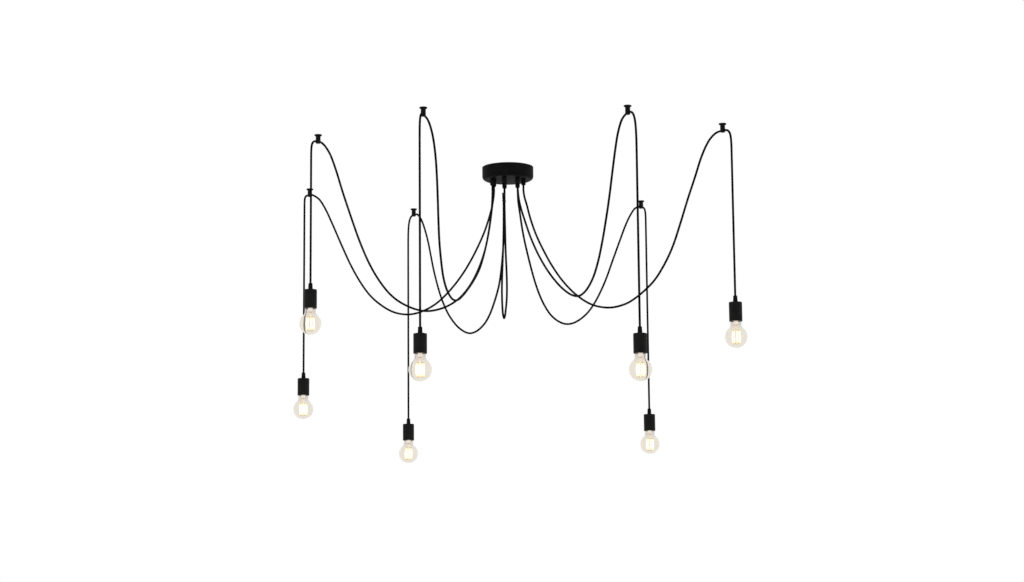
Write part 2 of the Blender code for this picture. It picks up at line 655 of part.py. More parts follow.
def bulb_outline():
    # Zero is the lampholder's lower rim. The glass is hollow, with a pipe left open in the tip.
    shroud = HOLDER_SHROUD_DEPTH - FIT_GAP
    cap_top = HOLDER_SHROUD_DEPTH + BULB_CAP_LENGTH
    tip_top = cap_top + BULB_TIP_HEIGHT
    neck_in = BULB_NECK_RADIUS - BULB_WALL
    cap_in = BULB_CAP_RADIUS - BULB_WALL
    inside = [
        (neck_in, -BULB_NECK_LENGTH), (cap_in, shroud - BULB_WALL), (cap_in, cap_top - BULB_WALL),
        (BULB_PIPE_RADIUS, tip_top - BULB_WALL),
    ]
    outside = [
        (BULB_PIPE_RADIUS, tip_top), (BULB_TIP_RADIUS, tip_top), (BULB_CAP_RADIUS, cap_top),
        (BULB_CAP_RADIUS, shroud), (BULB_NECK_RADIUS, shroud - BULB_WALL),
        (BULB_NECK_RADIUS, -BULB_NECK_LENGTH),
    ]
    return list(reversed(bulb_arc(BULB_WALL))) + inside + outside + bulb_arc(0)


def build_lamp(number, lamp, mats):
    swing = add_pivot(f"lamp_swing_{number}", lamp["pivot"], lamp["turn"])
    cord(f"drop_cord_{number}", drop_route(lamp), mats["cord"], swing)
    top = (lamp["standoff"], 0, -lamp["drop"])
    turned(f"lamp_holder_{number}", holder_outline(), HOLDER_STEPS, mats["holder"],
           parent=swing, location=top)
    outline = grip_outline(HOLDER_TOP_WALL, HOLDER_GRIP_RADIUS, HOLDER_GRIP_LENGTH,
                           HOLDER_GRIP_TIP_RADIUS, HOLDER_GRIP_TAPER)
    upright = [(radius, -height) for radius, height in reversed(outline)]
    turned(f"holder_grip_{number}", upright, GRIP_STEPS, mats["grip"], parent=swing, location=top)
    rim = (lamp["standoff"], 0, -lamp["drop"] - HOLDER_HEIGHT)
    turned(f"bulb_{number}", bulb_outline(), BULB_STEPS, mats["glass"], closed=False,
           parent=swing, location=rim)


def build_spare_lead(mats):
    mouth = Vector((*slot_place(SPARE_SLOT), GRIP_MOUTH_Z))
    tail = Vector((0, 0, CANOPY_GRIP_LENGTH + CANOPY_WALL + GRIP_NUT_HEIGHT + CORD_TAIL))
    route = [mouth + tail, mouth]
    for right, back, down in SPARE_ROUTE_SHARES:
        route.append(mouth + Vector((SPARE_SPREAD * right, SPARE_SPREAD * back, -SPARE_DEPTH * down)))
    cord("spare_lead", route, mats["cord"])
    end = route[-1]
    low = -SLEEVE_COVER
    top = SLEEVE_LENGTH - SLEEVE_COVER
    outline = [
        (0, top), (SLEEVE_RADIUS - CORD_RADIUS / 4, top), (SLEEVE_RADIUS, top - CORD_RADIUS / 4),
        (SLEEVE_RADIUS, low), (CORD_BORE_RADIUS, low), (CORD_BORE_RADIUS, FIT_GAP), (0, FIT_GAP),
    ]
    turned("spare_lead_sleeve", outline, GRIP_STEPS, mats["sleeve"], closed=False, location=end)
    build_tie(mouth, end, mats["tie"])


def build_tie(mouth, end, mat):
    # A flat band round the lead's two legs.
    beside = Vector((end.x - mouth.x, end.y - mouth.y, 0))
    half = beside.length / 2
    outlines = [racetrack(CORD_BORE_RADIUS + wall, half) for wall in (TIE_WALL, 0)]
    curve = flat_curve("spare_lead_tie", outlines, TIE_HEIGHT / 2)
    band = add_object("spare_lead_tie", curve, mat)
    band.location = (mouth.x + beside.x / 2, mouth.y + beside.y / 2,
                     end.z - SLEEVE_COVER - TIE_BELOW_SLEEVE)
    band.rotation_euler = (0, 0, math.atan2(beside.y, beside.x))
    made_mesh(band, mat)


def racetrack(radius, half):
    # Two half circles, joined by straight sides.
    points = []
    for side in (1, -1):
        for step in range(TIE_STEPS + 1):
            angle = math.pi * (step / TIE_STEPS - side / 2)
            points.append((side * half + radius * math.cos(angle), radius * math.sin(angle)))
    return points


def main():
    clear_scene()
    mats = {
        "canopy": finish("black_canopy", (0.018, 0.018, 0.020), 0.45),
        "bracket": finish("zinc_plate", (0.62, 0.63, 0.65), 0.35, 1.0),
        "block": finish("terminal_plastic", (0.80, 0.80, 0.77), 0.50),
        "screw": finish("plated_screw", (0.55, 0.55, 0.56), 0.30, 1.0),
        "grip": finish("black_grip", (0.015, 0.015, 0.016), 0.50),
        "hook": finish("black_hook", (0.015, 0.015, 0.016), 0.40),
        "cord": finish("black_cord", (0.012, 0.012, 0.013), 0.75),
        "holder": finish("black_holder", (0.016, 0.016, 0.018), 0.42),
        "glass": finish("warm_glass", (1.0, 0.93, 0.78), 0.05, 0.0, 0.9),
        "sleeve": finish("end_sleeve", (0.020, 0.018, 0.014), 0.55),
        "tie": finish("tie_band", (0.012, 0.012, 0.012), 0.60),
    }
    lamps = {number: lamp_places(shares) for number, shares in LAMP_SHARES.items()}
    slots = [shares["slot"] for shares in LAMP_SHARES.values()] + [SPARE_SLOT]
    build_canopy(mats["canopy"], slots)
    build_bracket(mats["bracket"])
    build_grub_screws(mats["screw"])
    build_terminal_block(mats["block"], mats["screw"])
    build_canopy_grips(mats["grip"], slots)
    for number, lamp in lamps.items():
        build_hook(number, lamp, mats["hook"])
        cord(f"swag_cord_{number}", swag_route(number, lamp), mats["cord"])
        build_lamp(number, lamp, mats)
    build_spare_lead(mats)


PARTS = new_collection("pendant_light")
CUTTERS = new_collection("cutters")
main()
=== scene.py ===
import math

import bmesh
import bpy
from mathutils import Euler, Matrix, Quaternion, Vector


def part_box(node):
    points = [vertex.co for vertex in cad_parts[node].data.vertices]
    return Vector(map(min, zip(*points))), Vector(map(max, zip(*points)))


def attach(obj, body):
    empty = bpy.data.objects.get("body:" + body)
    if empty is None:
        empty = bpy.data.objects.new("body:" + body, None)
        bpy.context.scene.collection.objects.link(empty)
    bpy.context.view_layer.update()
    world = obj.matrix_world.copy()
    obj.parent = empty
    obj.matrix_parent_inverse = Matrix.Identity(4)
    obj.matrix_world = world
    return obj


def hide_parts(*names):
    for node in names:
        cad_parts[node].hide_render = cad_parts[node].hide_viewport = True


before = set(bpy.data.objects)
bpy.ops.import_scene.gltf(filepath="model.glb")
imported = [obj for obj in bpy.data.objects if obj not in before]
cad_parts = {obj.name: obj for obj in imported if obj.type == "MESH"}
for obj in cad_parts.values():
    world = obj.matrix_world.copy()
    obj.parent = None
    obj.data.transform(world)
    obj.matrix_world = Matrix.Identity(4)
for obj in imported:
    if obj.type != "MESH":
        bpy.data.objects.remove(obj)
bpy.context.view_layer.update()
print("frame loaded:", len(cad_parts), "nodes")


def linked(name, data):
    # a new object, put in the scene
    made = bpy.data.objects.new(name, data)
    bpy.context.scene.collection.objects.link(made)
    return made


# camera, placed as the photo was taken
view = {
    "place": (0.0095, -6.822, -1.504),
    "pitch": 9.36,      # degrees, looking up
    "roll": -0.52,      # degrees
    "lens": 80.86,
    "sensor": 36.0,
    "near": 0.1,
    "far": 60.0,
}


def makeCamera():
    data = bpy.data.cameras.new("photoCamera")
    data.lens = view["lens"]
    data.sensor_width = view["sensor"]
    data.clip_start = view["near"]
    data.clip_end = view["far"]
    camera = linked("photoCamera", data)
    camera.location = view["place"]
    camera.rotation_mode = "QUATERNION"
    level = Euler((math.radians(90 + view["pitch"]), 0, 0)).to_quaternion()
    camera.rotation_quaternion = level @ Quaternion((0, 0, 1), math.radians(view["roll"]))
    bpy.context.scene.camera = camera


makeCamera()
print("camera placed")


# a shader value that can be written into sums
class Value:
    def __init__(self, board, socket):
        self.board = board
        self.socket = socket

    def sum(self, operation, first, second=0.0):
        return self.board.node("ShaderNodeMath", {"operation": operation}, {0: first, 1: second})

    def __add__(self, other):
        return self.sum("ADD", self, other)

    def __radd__(self, other):
        return self.sum("ADD", other, self)

    def __sub__(self, other):
        return self.sum("SUBTRACT", self, other)

    def __rsub__(self, other):
        return self.sum("SUBTRACT", other, self)

    def __mul__(self, other):
        return self.sum("MULTIPLY", self, other)

    def __rmul__(self, other):
        return self.sum("MULTIPLY", other, self)

    def __pow__(self, other):
        return self.sum("POWER", self, other)

    def __rpow__(self, other):
        return self.sum("POWER", other, self)

    def __abs__(self):
        return self.sum("ABSOLUTE", self)

    def sine(self):
        return self.sum("SINE", self)

    def atLeast(self, other):
        return self.sum("MAXIMUM", self, other)


def fourth(value):
    # a colour of three numbers gets its fourth
    if isinstance(value, tuple) and len(value) == 3:
        return (*value, 1.0)
    return value


class Board:
    # a node tree to build on
    def __init__(self, tree):
        self.tree = tree

    def node(self, kind, settings=None, sockets=None, out=0):
        made = self.tree.nodes.new(kind)
        for key, value in (settings or {}).items():
            if key == "stops":
                setStops(made.color_ramp, value)
            else:
                setattr(made, key, value)
        for key, value in (sockets or {}).items():
            self.feed(made.inputs[key], value)
        return Value(self, made.outputs[out]) if made.outputs else made

    def feed(self, socket, value):
        if isinstance(value, Value):
            self.tree.links.new(value.socket, socket)
        elif socket.type == "RGBA":
            socket.default_value = fourth(value)
        else:
            socket.default_value = value

    def where(self):
        return self.node("ShaderNodeTexCoord", out="Object")

    def parts(self, vector):
        split = self.node("ShaderNodeSeparateXYZ", sockets={"Vector": vector})
        return [Value(self, socket) for socket in split.socket.node.outputs]

    def stretched(self, vector, scale):
        return self.node("ShaderNodeVectorMath", {"operation": "MULTIPLY"}, {0: vector, 1: scale})

    def noise(self, scale, detail=3.0, vector=None):
        return self.node("ShaderNodeTexNoise", sockets={
            "Vector": vector or self.where(), "Scale": scale, "Detail": detail, "Roughness": 0.55})

    def ramp(self, value, stops):
        return self.node("ShaderNodeValToRGB", {"stops": stops}, {"Fac": value})

    def blend(self, share, first, second):
        # the Mix node's colours are its inputs 6 and 7 and its output 2
        settings = {"data_type": "RGBA"}
        return self.node("ShaderNodeMix", settings, {0: share, 6: first, 7: second}, out=2)

    def span(self, value, low, high, first, second):
        return self.node("ShaderNodeMapRange", sockets={
            "Value": value, "From Min": low, "From Max": high, "To Min": first, "To Max": second})


def setStops(ramp, stops):
    while len(ramp.elements) > 1:
        ramp.elements.remove(ramp.elements[-1])
    for number, (place, colour) in enumerate(stops):
        element = ramp.elements[0] if number == 0 else ramp.elements.new(place)
        element.position = place
        element.color = fourth(colour)


class Finish(Board):
    # one material; look holds what is the same all over it
    def __init__(self, name, look):
        self.material = bpy.data.materials.new(name)
        self.material.use_nodes = True
        super().__init__(self.material.node_tree)
        self.shader = self.tree.nodes["Principled BSDF"]
        for socket, value in look.items():
            self.wear(socket, value)

    def wear(self, socket, value):
        self.feed(self.shader.inputs[socket], value)

    def relief(self, height, depth, strength):
        self.wear("Normal", self.node("ShaderNodeBump", sockets={
            "Height": height, "Distance": depth, "Strength": strength}))


# finishes: satin black of the four kinds of black piece
paint = {
    "canopy": {"dark": (0.0023, 0.0023, 0.0024), "light": (0.0046, 0.0046, 0.0047),
               "rough": 0.56, "shine": 0.03, "grain": 1500.0},
    "holder": {"dark": (0.0040, 0.0039, 0.0038), "light": (0.0076, 0.0074, 0.0072),
               "rough": 0.46, "shine": 0.06, "grain": 2200.0},
    "grip": {"dark": (0.0022, 0.0022, 0.0023), "light": (0.0042, 0.0042, 0.0044),
             "rough": 0.62, "shine": 0.05, "grain": 3000.0},
    "hook": {"dark": (0.0022, 0.0022, 0.0023), "light": (0.0044, 0.0044, 0.0047),
             "rough": 0.50, "shine": 0.06, "grain": 2600.0},
}
paintGrain = {"cloud": 38.0, "stops": (0.35, 0.70), "cloudSwing": 0.16, "grainSwing": 0.06,
              "depth": 0.00006, "bump": 0.5}


def blackFinish(kind):
    # a fine grain and a few rubbed places; the noises swing about a half
    look, g = paint[kind], paintGrain
    made = Finish(kind + "Black", {"Specular IOR Level": look["shine"]})
    cloud = made.noise(g["cloud"], 4.0)
    grain = made.noise(look["grain"], 2.0)
    made.wear("Base Color", made.ramp(cloud, zip(g["stops"], (look["dark"], look["light"]))))
    flat = look["rough"] - (g["cloudSwing"] + g["grainSwing"]) / 2
    made.wear("Roughness", cloud * g["cloudSwing"] + grain * g["grainSwing"] + flat)
    made.relief(grain, g["depth"], g["bump"])
    return made.material


braid = {
    "thread": (0.0050, 0.0050, 0.0053),
    # the gaps between strands are painted shade, darker than the strands
    "gap": (0.0014, 0.0014, 0.0015),
    "stops": (0.25, 0.80),
    "strands": 8.0,       # round the cord, each way
    "crossing": 0.0021,   # metres along the cord from one crossing to the next
    "curve": 0.5,         # under 1 gives broad strands and narrow gaps
    "fuzz": {"scale": 5200.0, "share": 0.25},
    "rough": 0.95, "strandSmooth": 0.25,
    "depth": 0.00022, "bump": 0.8,
    "shine": {"Specular IOR Level": 0.02, "Sheen Weight": 0.002, "Sheen Roughness": 0.4},
}


def cordFinish():
    # braided textile: two sets of strands that cross over each other, darker in the gaps between strands
    # as painted shade
    made = Finish("cordBraid", braid["shine"])
    around, along, _ = made.parts(made.node("ShaderNodeUVMap", {"uv_map": "cordWay"}))
    turn = around * (2 * math.pi * braid["strands"])
    step = along * (2 * math.pi / braid["crossing"])
    weave = abs((turn + step).sine() * (turn - step).sine()) ** braid["curve"]
    fuzz = braid["fuzz"]
    worn = weave * (1 - fuzz["share"]) + made.noise(fuzz["scale"]) * fuzz["share"]
    made.wear("Base Color", made.ramp(worn, zip(braid["stops"], (braid["gap"], braid["thread"]))))
    made.wear("Roughness", braid["rough"] - weave * braid["strandSmooth"])
    made.relief(worn, braid["depth"], braid["bump"])
    return made.material


# the bulb's light threads and their wires; heights are from the lampholder's lower rim
threads = {
    "count": 9, "ring": 0.0098, "bow": 0.0016, "thick": 0.0012, "sides": 16,
    "top": -0.0270, "bottom": -0.0610,
    "wire": 0.00045, "wireSides": 10, "wireInside": 0.001, "knee": 0.0016, "wireBow": 0.0004,
    "hub": {"reach": 0.0022, "bore": 0.0011, "half": 0.0008, "edge": 0.0002, "steps": 28},
    "hubAbove": 0.0030, "hubBelow": 0.0010,
}
glow = {
    "neck": {"tint": (0.752, 0.735, 0.716), "paintedGlow": (0.30, 0.27, 0.23)},
    "globe": {"tint": (0.778, 0.762, 0.726), "paintedGlow": (0.60, 0.54, 0.47)},
    "from": -0.010, "to": -0.024,             # heights between which the painted glow comes on
    "streak": {"scale": 22.0, "sway": 0.004},   # how much these heights wander
    "strength": 0.1,
    "threadMiddle": (1.0, 0.95, 0.84), "threadEnd": (0.80, 0.58, 0.30), "threadBase": (0.9, 0.72, 0.35),
    "threadStops": (0.03, 0.20, 0.82, 0.98), "threadGrain": {"scale": 1400.0, "sway": 0.002},
    "threadStrength": 1.35,
}


def glassFinish():
    # thin clear glass; the lit globe has a cream haze that the neck lacks: painted glow, an emission
    # standing in for the threads' light in the glass
    made = Finish("bulbGlass", {
        "Transmission Weight": 1.0, "IOR": 1.12, "Emission Strength": glow["strength"]})
    streak = made.noise(glow["streak"]["scale"], 2.0)
    height = made.parts(made.where())[2] + (streak - 0.5) * glow["streak"]["sway"]
    share = made.span(height, glow["from"], glow["to"], 0.0, 1.0)
    made.wear("Base Color", made.blend(share, glow["neck"]["tint"], glow["globe"]["tint"]))
    # the emission colour is painted glow, cream in the globe and fainter in the neck
    made.wear("Emission Color", made.blend(share, glow["neck"]["paintedGlow"], glow["globe"]["paintedGlow"]))
    made.wear("Roughness", made.span(streak, 0.3, 0.8, 0.0, 0.01))
    made.material.cycles.emission_sampling = "NONE"
    return made.material


def threadFinish():
    # the lit threads are white in the middle and amber at their ends
    made = Finish("lightThread", {
        "Base Color": glow["threadBase"], "Roughness": 0.6, "Emission Strength": glow["threadStrength"]})
    grain = made.noise(glow["threadGrain"]["scale"], 2.0)
    height = made.parts(made.where())[2] + (grain - 0.5) * glow["threadGrain"]["sway"]
    share = made.span(height, threads["bottom"], threads["top"], 0.0, 1.0)
    end, middle = glow["threadEnd"], glow["threadMiddle"]
    made.wear("Emission Color", made.ramp(share, zip(glow["threadStops"], (end, middle, middle, end))))
    made.material.cycles.emission_sampling = "NONE"
    return made.material


stemGlass = {"tint": (0.97, 0.94, 0.88), "shade": 0.93, "stops": (0.3, 0.7), "cloud": 240.0, "rough": 0.1}


def stemFinish():
    # the stem's glass is a little darker in places
    s = stemGlass
    made = Finish("stemGlass", {"Transmission Weight": 1.0, "IOR": 1.5})
    cloud = made.noise(s["cloud"], 2.0)
    shaded = tuple(s["shade"] * part for part in s["tint"])
    made.wear("Base Color", made.ramp(cloud, zip(s["stops"], (shaded, s["tint"]))))
    made.wear("Roughness", cloud * s["rough"])
    return made.material


brushed = {"lines": 900.0, "stain": 70.0, "stops": (0.35, 0.62), "lineSwing": 0.22, "stainSwing": 0.08,
           "depth": 0.00005, "bump": 0.4}


def metalFinish(name, colour, worn, rough, brush):
    made = Finish(name, {"Metallic": 1.0})
    lines = made.noise(brushed["lines"], 4.0, made.stretched(made.where(), brush))
    stain = made.noise(brushed["stain"])
    made.wear("Base Color", made.ramp(stain, zip(brushed["stops"], (worn, colour))))
    flat = rough - (brushed["lineSwing"] + brushed["stainSwing"]) / 2
    made.wear("Roughness", lines * brushed["lineSwing"] + stain * brushed["stainSwing"] + flat)
    made.relief(lines, brushed["depth"], brushed["bump"])
    return made.material


moulded = {"cloud": 120.0, "stops": (0.35, 0.68), "swing": 0.15, "flat": 0.08, "grain": 2600.0,
           "depth": 0.00005, "bump": 0.5}


def plasticFinish(name, colour, shade, rough, shine=0.4, lit=0.0):
    # the emission is painted light, standing in for the bulb's own light that falls on these pieces
    made = Finish(name, {"Specular IOR Level": shine, "Emission Strength": lit})
    cloud = made.noise(moulded["cloud"], 4.0)
    colours = made.ramp(cloud, zip(moulded["stops"], (shade, colour)))
    made.wear("Base Color", colours)
    if lit:
        made.wear("Emission Color", colours)
        made.material.cycles.emission_sampling = "NONE"
    made.wear("Roughness", cloud * moulded["swing"] + (rough - moulded["flat"]))
    made.relief(made.noise(moulded["grain"], 2.0), moulded["depth"], moulded["bump"])
    return made.material


finishes = {
    "canopy": blackFinish("canopy"),
    "holder": blackFinish("holder"),
    "grip": blackFinish("grip"),
    "hook": blackFinish("hook"),
    "cord": cordFinish(),
    "glass": glassFinish(),
    "thread": threadFinish(),
    "stem": stemFinish(),
    # the stem's mount, bead and post glow with painted light from the threads
    "mount": plasticFinish("stemMount", (0.88, 0.82, 0.75), (0.80, 0.74, 0.66), 0.45, lit=0.66),
    "bead": plasticFinish("stemBead", (0.60, 0.44, 0.30), (0.50, 0.36, 0.24), 0.45, lit=0.50),
    "post": plasticFinish("stemPost", (0.92, 0.79, 0.60), (0.86, 0.72, 0.53), 0.45, lit=0.50),
    "brass": metalFinish("capBrass", (0.78, 0.62, 0.36), (0.60, 0.45, 0.24), 0.32, (1.0, 1.0, 12.0)),
    "wire": metalFinish("supportWire", (0.72, 0.62, 0.45), (0.52, 0.42, 0.28), 0.35, (1.0, 1.0, 6.0)),
    "zinc": metalFinish("zincStrip", (0.66, 0.67, 0.69), (0.50, 0.51, 0.53), 0.38, (0.6, 14.0, 14.0)),
    "steel": metalFinish("screwSteel", (0.60, 0.60, 0.61), (0.42, 0.42, 0.43), 0.34, (8.0, 8.0, 1.0)),
    "terminal": plasticFinish("terminalWhite", (0.78, 0.78, 0.75), (0.66, 0.66, 0.62), 0.48),
    "insulator": plasticFinish("capInsulator", (0.020, 0.018, 0.017), (0.010, 0.009, 0.009), 0.30),
    "sleeve": plasticFinish("endSleeve", (0.0060, 0.0062, 0.0040), (0.0030, 0.0032, 0.0020), 0.60,
                            shine=0.03),
    "tie": plasticFinish("tieNylon", (0.010, 0.010, 0.010), (0.005, 0.005, 0.005), 0.45, shine=0.08),
}
print("finishes made:", len(finishes))


# making meshes
crease = {"turned": 35, "bored": 32, "fine": 45, "round": 60}      # degrees; sharper edges stay sharp
onAxis = 1e-7      # a smaller radius is a point on the axis


def softened(corners, bits=5):
    # (radius, height, rounding): each corner gets a small curve of that size
    line = []
    for number, (radius, height, rounding) in enumerate(corners):
        here = Vector((radius, height))
        if rounding == 0:
            line.append(here)
            continue
        before = (Vector(corners[number - 1][:2]) - here).normalized() * rounding
        after = (Vector(corners[(number + 1) % len(corners)][:2]) - here).normalized() * rounding
        for bit in range(bits + 1):
            share = bit / bits
            line.append(here + before * (1 - share) ** 2 + after * share ** 2)
    return line


def lathe(line, steps, closed=False, place=None, shape=None, bm=None, number=0):
    # turns the line about the upright axis; shape may change the radius with height and angle
    bm = bm or bmesh.new()
    place = place or Matrix.Identity(4)
    rings = []
    for radius, height in line:
        ring = []
        for step in range(steps if radius > onAxis else 1):
            angle = 2 * math.pi * step / steps
            reach = shape(radius, height, angle) if shape else radius
            corner = Vector((reach * math.cos(angle), reach * math.sin(angle), height))
            ring.append(bm.verts.new(place @ corner))
        rings.append(ring)
    pairs = list(zip(rings, rings[1:]))
    if closed:
        pairs.append((rings[-1], rings[0]))
    for upper, lower in pairs:
        for step in range(steps):
            corners = []
            for ring, order in ((upper, (step, step + 1)), (lower, (step + 1, step))):
                corners += [ring[0]] if len(ring) == 1 else [ring[spot % steps] for spot in order]
            if len(corners) > 2:
                bm.faces.new(corners).material_index = number
    return bm


def tube(bm, path, radius, sides, number=0, way=None):
    # a round bar along the path that doesn't twist; way is the layer for round and along
    heading = (path[1] - path[0]).normalized()
    side = heading.orthogonal().normalized()
    rings, run = [], 0.0
    for spot, point in enumerate(path):
        ahead = (path[min(spot + 1, len(path) - 1)] - path[max(spot - 1, 0)]).normalized()
        side = (heading.rotation_difference(ahead) @ side).normalized()
        heading = ahead
        up = heading.cross(side)
        if spot:
            run += (point - path[spot - 1]).length
        angles = [2 * math.pi * step / sides for step in range(sides)]
        ring = [bm.verts.new(point + radius * (math.cos(a) * side + math.sin(a) * up)) for a in angles]
        rings.append((ring, run))
    for (ring, start), (after, end) in zip(rings, rings[1:]):
        for step in range(sides):
            other = (step + 1) % sides
            face = bm.faces.new((ring[step], ring[other], after[other], after[step]))
            face.material_index = number
            if way is not None:
                shares = ((step, start), (step + 1, start), (step + 1, end), (step, end))
                for loop, (turned, far) in zip(face.loops, shares):
                    loop[way].uv = (turned / sides, far)
    bm.faces.new(list(reversed(rings[0][0]))).material_index = number
    bm.faces.new(rings[-1][0]).material_index = number


def meshOf(name, bm, finishNames, sharp=crease["turned"]):
    bmesh.ops.recalc_face_normals(bm, faces=bm.faces)
    mesh = bpy.data.meshes.new(name)
    bm.to_mesh(mesh)
    bm.free()
    for finishName in finishNames:
        mesh.materials.append(finishes[finishName])
    mesh.shade_smooth()
    mesh.set_sharp_from_angle(angle=math.radians(sharp))
    return mesh


def bored(mesh, cutters):
    # the mesh with the cutters' shapes taken out of it
    objects = [linked("boring", data) for data in [mesh, *cutters]]
    for cutter in objects[1:]:
        bore = objects[0].modifiers.new("bore", "BOOLEAN")
        bore.operation = "DIFFERENCE"
        bore.solver = "EXACT"
        bore.object = cutter
    bpy.context.view_layer.update()
    graph = bpy.context.evaluated_depsgraph_get()
    made = bpy.data.meshes.new_from_object(objects[0].evaluated_get(graph))
    for thing in objects:
        bpy.data.objects.remove(thing, do_unlink=True)
    made.shade_smooth()
    made.set_sharp_from_angle(angle=math.radians(crease["bored"]))
    return made


def rod(radius, length, place, steps=32):
    line = [(0, length / 2), (radius, length / 2), (radius, -length / 2), (0, -length / 2)]
    return meshOf("rod", lathe(line, steps, place=place), ["grip"])


def put(name, mesh, body, place=None, instead=()):
    # a piece of the light, carried by one of its bodies
    piece = linked(name, mesh)
    if place is not None:
        piece.matrix_world = place
    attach(piece, body)
    if instead:
        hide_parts(*instead)
    return piece


def at(point, turn=0.0):
    return Matrix.Translation(point) @ Matrix.Rotation(turn, 4, "Z")


# where everything hangs, in metres
layout = {
    "hookReach": 0.750, "swagDepth": 0.415, "dropLength": 0.600, "dropStandoff": 0.030,
    "gripRing": 0.047, "gripSlots": 7, "gripMouth": -0.055, "canopyUnder": -0.039,
    "hookHole": -0.0205, "hookMouth": 0.0091, "hookBore": 0.0059, "endGap": 0.00015,
    "tailUp": 0.0262, "tailInHolder": 0.012, "holderHeight": 0.053,
}
lampShares = {
    1: {"bearing": 50.3, "reach": 0.902, "swag": 0.95, "drop": 1.127, "standoff": 0.80, "slot": 1},
    2: {"bearing": 116.8, "reach": 0.923, "swag": 1.00, "drop": 1.147, "standoff": 1.45, "slot": 2},
    3: {"bearing": 155.4, "reach": 0.917, "swag": 0.894, "drop": 0.968, "standoff": 0.64, "slot": 3},
    4: {"bearing": 220.3, "reach": 0.938, "swag": 0.993, "drop": 0.713, "standoff": 0.82, "slot": 3.5},
    5: {"bearing": 253.57, "reach": 1.065, "swag": 1.027, "drop": 1.005, "standoff": 1.20, "slot": 4},
    6: {"bearing": 293.1, "reach": 1.110, "swag": 0.998, "drop": 1.016, "standoff": 1.73, "slot": 6},
    7: {"bearing": 317.8, "reach": 1.085, "swag": 1.002, "drop": 0.816, "standoff": 1.00, "slot": 7},
}
spareSlot = 5
usedSlots = [shares["slot"] for shares in lampShares.values()] + [spareSlot]


def gripPlace(slot, height):
    angle = 2 * math.pi * slot / layout["gripSlots"]
    return Vector((layout["gripRing"] * math.cos(angle), layout["gripRing"] * math.sin(angle), height))


def lampPlaces(shares):
    turn = math.radians(shares["bearing"])
    reach = layout["hookReach"] * shares["reach"]
    hook = Vector((reach * math.cos(turn), reach * math.sin(turn), 0))
    grip = gripPlace(shares["slot"], layout["gripMouth"])
    away = Vector((hook.x - grip.x, hook.y - grip.y, 0))
    drop = layout["dropLength"] * shares["drop"]
    standoff = layout["dropStandoff"] * shares["standoff"]
    pivot = hook + Vector((0, 0, layout["hookHole"]))
    top = pivot + away.normalized() * standoff - Vector((0, 0, drop))
    return {
        "hook": hook, "grip": grip, "away": away, "turn": math.atan2(away.y, away.x), "pivot": pivot,
        "depth": layout["swagDepth"] * shares["swag"], "drop": drop, "standoff": standoff,
        "holderTop": top, "rim": top - Vector((0, 0, layout["holderHeight"])),
    }


lamps = {number: lampPlaces(shares) for number, shares in lampShares.items()}

# each swag: how far along from its grip to its hook, and how far down as a share of its depth
swagShares = {
    1: [(0.001, 0.040), (0.003, 0.100), (0.014, 0.185), (0.039, 0.355), (0.071, 0.505),
        (0.117, 0.684), (0.153, 0.792), (0.196, 0.883), (0.250, 0.955), (0.312, 0.993),
        (0.371, 1.000), (0.436, 0.974), (0.527, 0.892), (0.600, 0.781), (0.682, 0.603),
        (0.745, 0.427), (0.815, 0.230), (0.868, 0.086), (0.906, 0.003), (0.946, -0.062)],
    2: [(0.000, 0.050), (0.003, 0.165), (0.009, 0.300), (0.023, 0.475), (0.041, 0.600),
        (0.060, 0.690), (0.084, 0.757), (0.116, 0.824), (0.158, 0.896), (0.209, 0.952),
        (0.284, 0.992), (0.357, 1.000), (0.410, 0.984), (0.456, 0.957), (0.511, 0.913),
        (0.579, 0.837), (0.630, 0.762), (0.692, 0.638), (0.764, 0.435), (0.837, 0.163),
        (0.886, 0.030), (0.920, -0.034), (0.957, -0.074)],
    3: [(0.000, 0.045), (0.005, 0.115), (0.018, 0.207), (0.048, 0.352), (0.076, 0.452),
        (0.117, 0.576), (0.168, 0.702), (0.233, 0.825), (0.310, 0.930), (0.390, 0.987),
        (0.460, 1.000), (0.537, 0.970), (0.612, 0.893), (0.665, 0.812), (0.718, 0.693),
        (0.771, 0.540), (0.824, 0.355), (0.873, 0.175), (0.912, 0.041), (0.948, -0.050)],
    4: [(0.000, 0.050), (0.005, 0.170), (0.023, 0.338), (0.048, 0.490), (0.091, 0.647),
        (0.143, 0.775), (0.212, 0.884), (0.308, 0.965), (0.412, 1.000), (0.520, 0.974),
        (0.598, 0.918), (0.666, 0.823), (0.720, 0.714), (0.773, 0.567), (0.822, 0.400),
        (0.866, 0.240), (0.905, 0.086), (0.938, -0.018), (0.968, -0.069)],
    5: [(0.002, 0.045), (0.010, 0.095), (0.032, 0.185), (0.081, 0.359), (0.145, 0.520),
        (0.222, 0.665), (0.305, 0.770), (0.395, 0.861), (0.485, 0.940), (0.558, 0.988),
        (0.618, 1.000), (0.668, 0.983), (0.713, 0.945), (0.750, 0.880), (0.776, 0.785),
        (0.797, 0.670), (0.808, 0.540), (0.816, 0.395), (0.827, 0.250), (0.843, 0.130),
        (0.872, 0.024), (0.905, -0.036), (0.942, -0.071)],
    6: [(0.001, 0.040), (0.010, 0.118), (0.028, 0.190), (0.074, 0.320), (0.127, 0.454),
        (0.194, 0.591), (0.276, 0.727), (0.360, 0.840), (0.436, 0.922), (0.507, 0.978),
        (0.570, 1.000), (0.630, 0.979), (0.688, 0.916), (0.732, 0.825), (0.770, 0.706),
        (0.806, 0.562), (0.839, 0.410), (0.866, 0.262), (0.891, 0.130), (0.918, 0.015),
        (0.951, -0.058)],
    7: [(0.000, 0.040), (0.005, 0.090), (0.016, 0.145), (0.035, 0.253), (0.064, 0.379),
        (0.103, 0.506), (0.149, 0.634), (0.207, 0.763), (0.276, 0.876), (0.355, 0.961),
        (0.445, 1.000), (0.522, 0.990), (0.562, 0.966), (0.612, 0.921), (0.665, 0.855),
        (0.713, 0.758), (0.752, 0.652), (0.791, 0.502), (0.829, 0.342), (0.866, 0.197),
        (0.902, 0.054), (0.936, -0.036), (0.966, -0.075)],
}
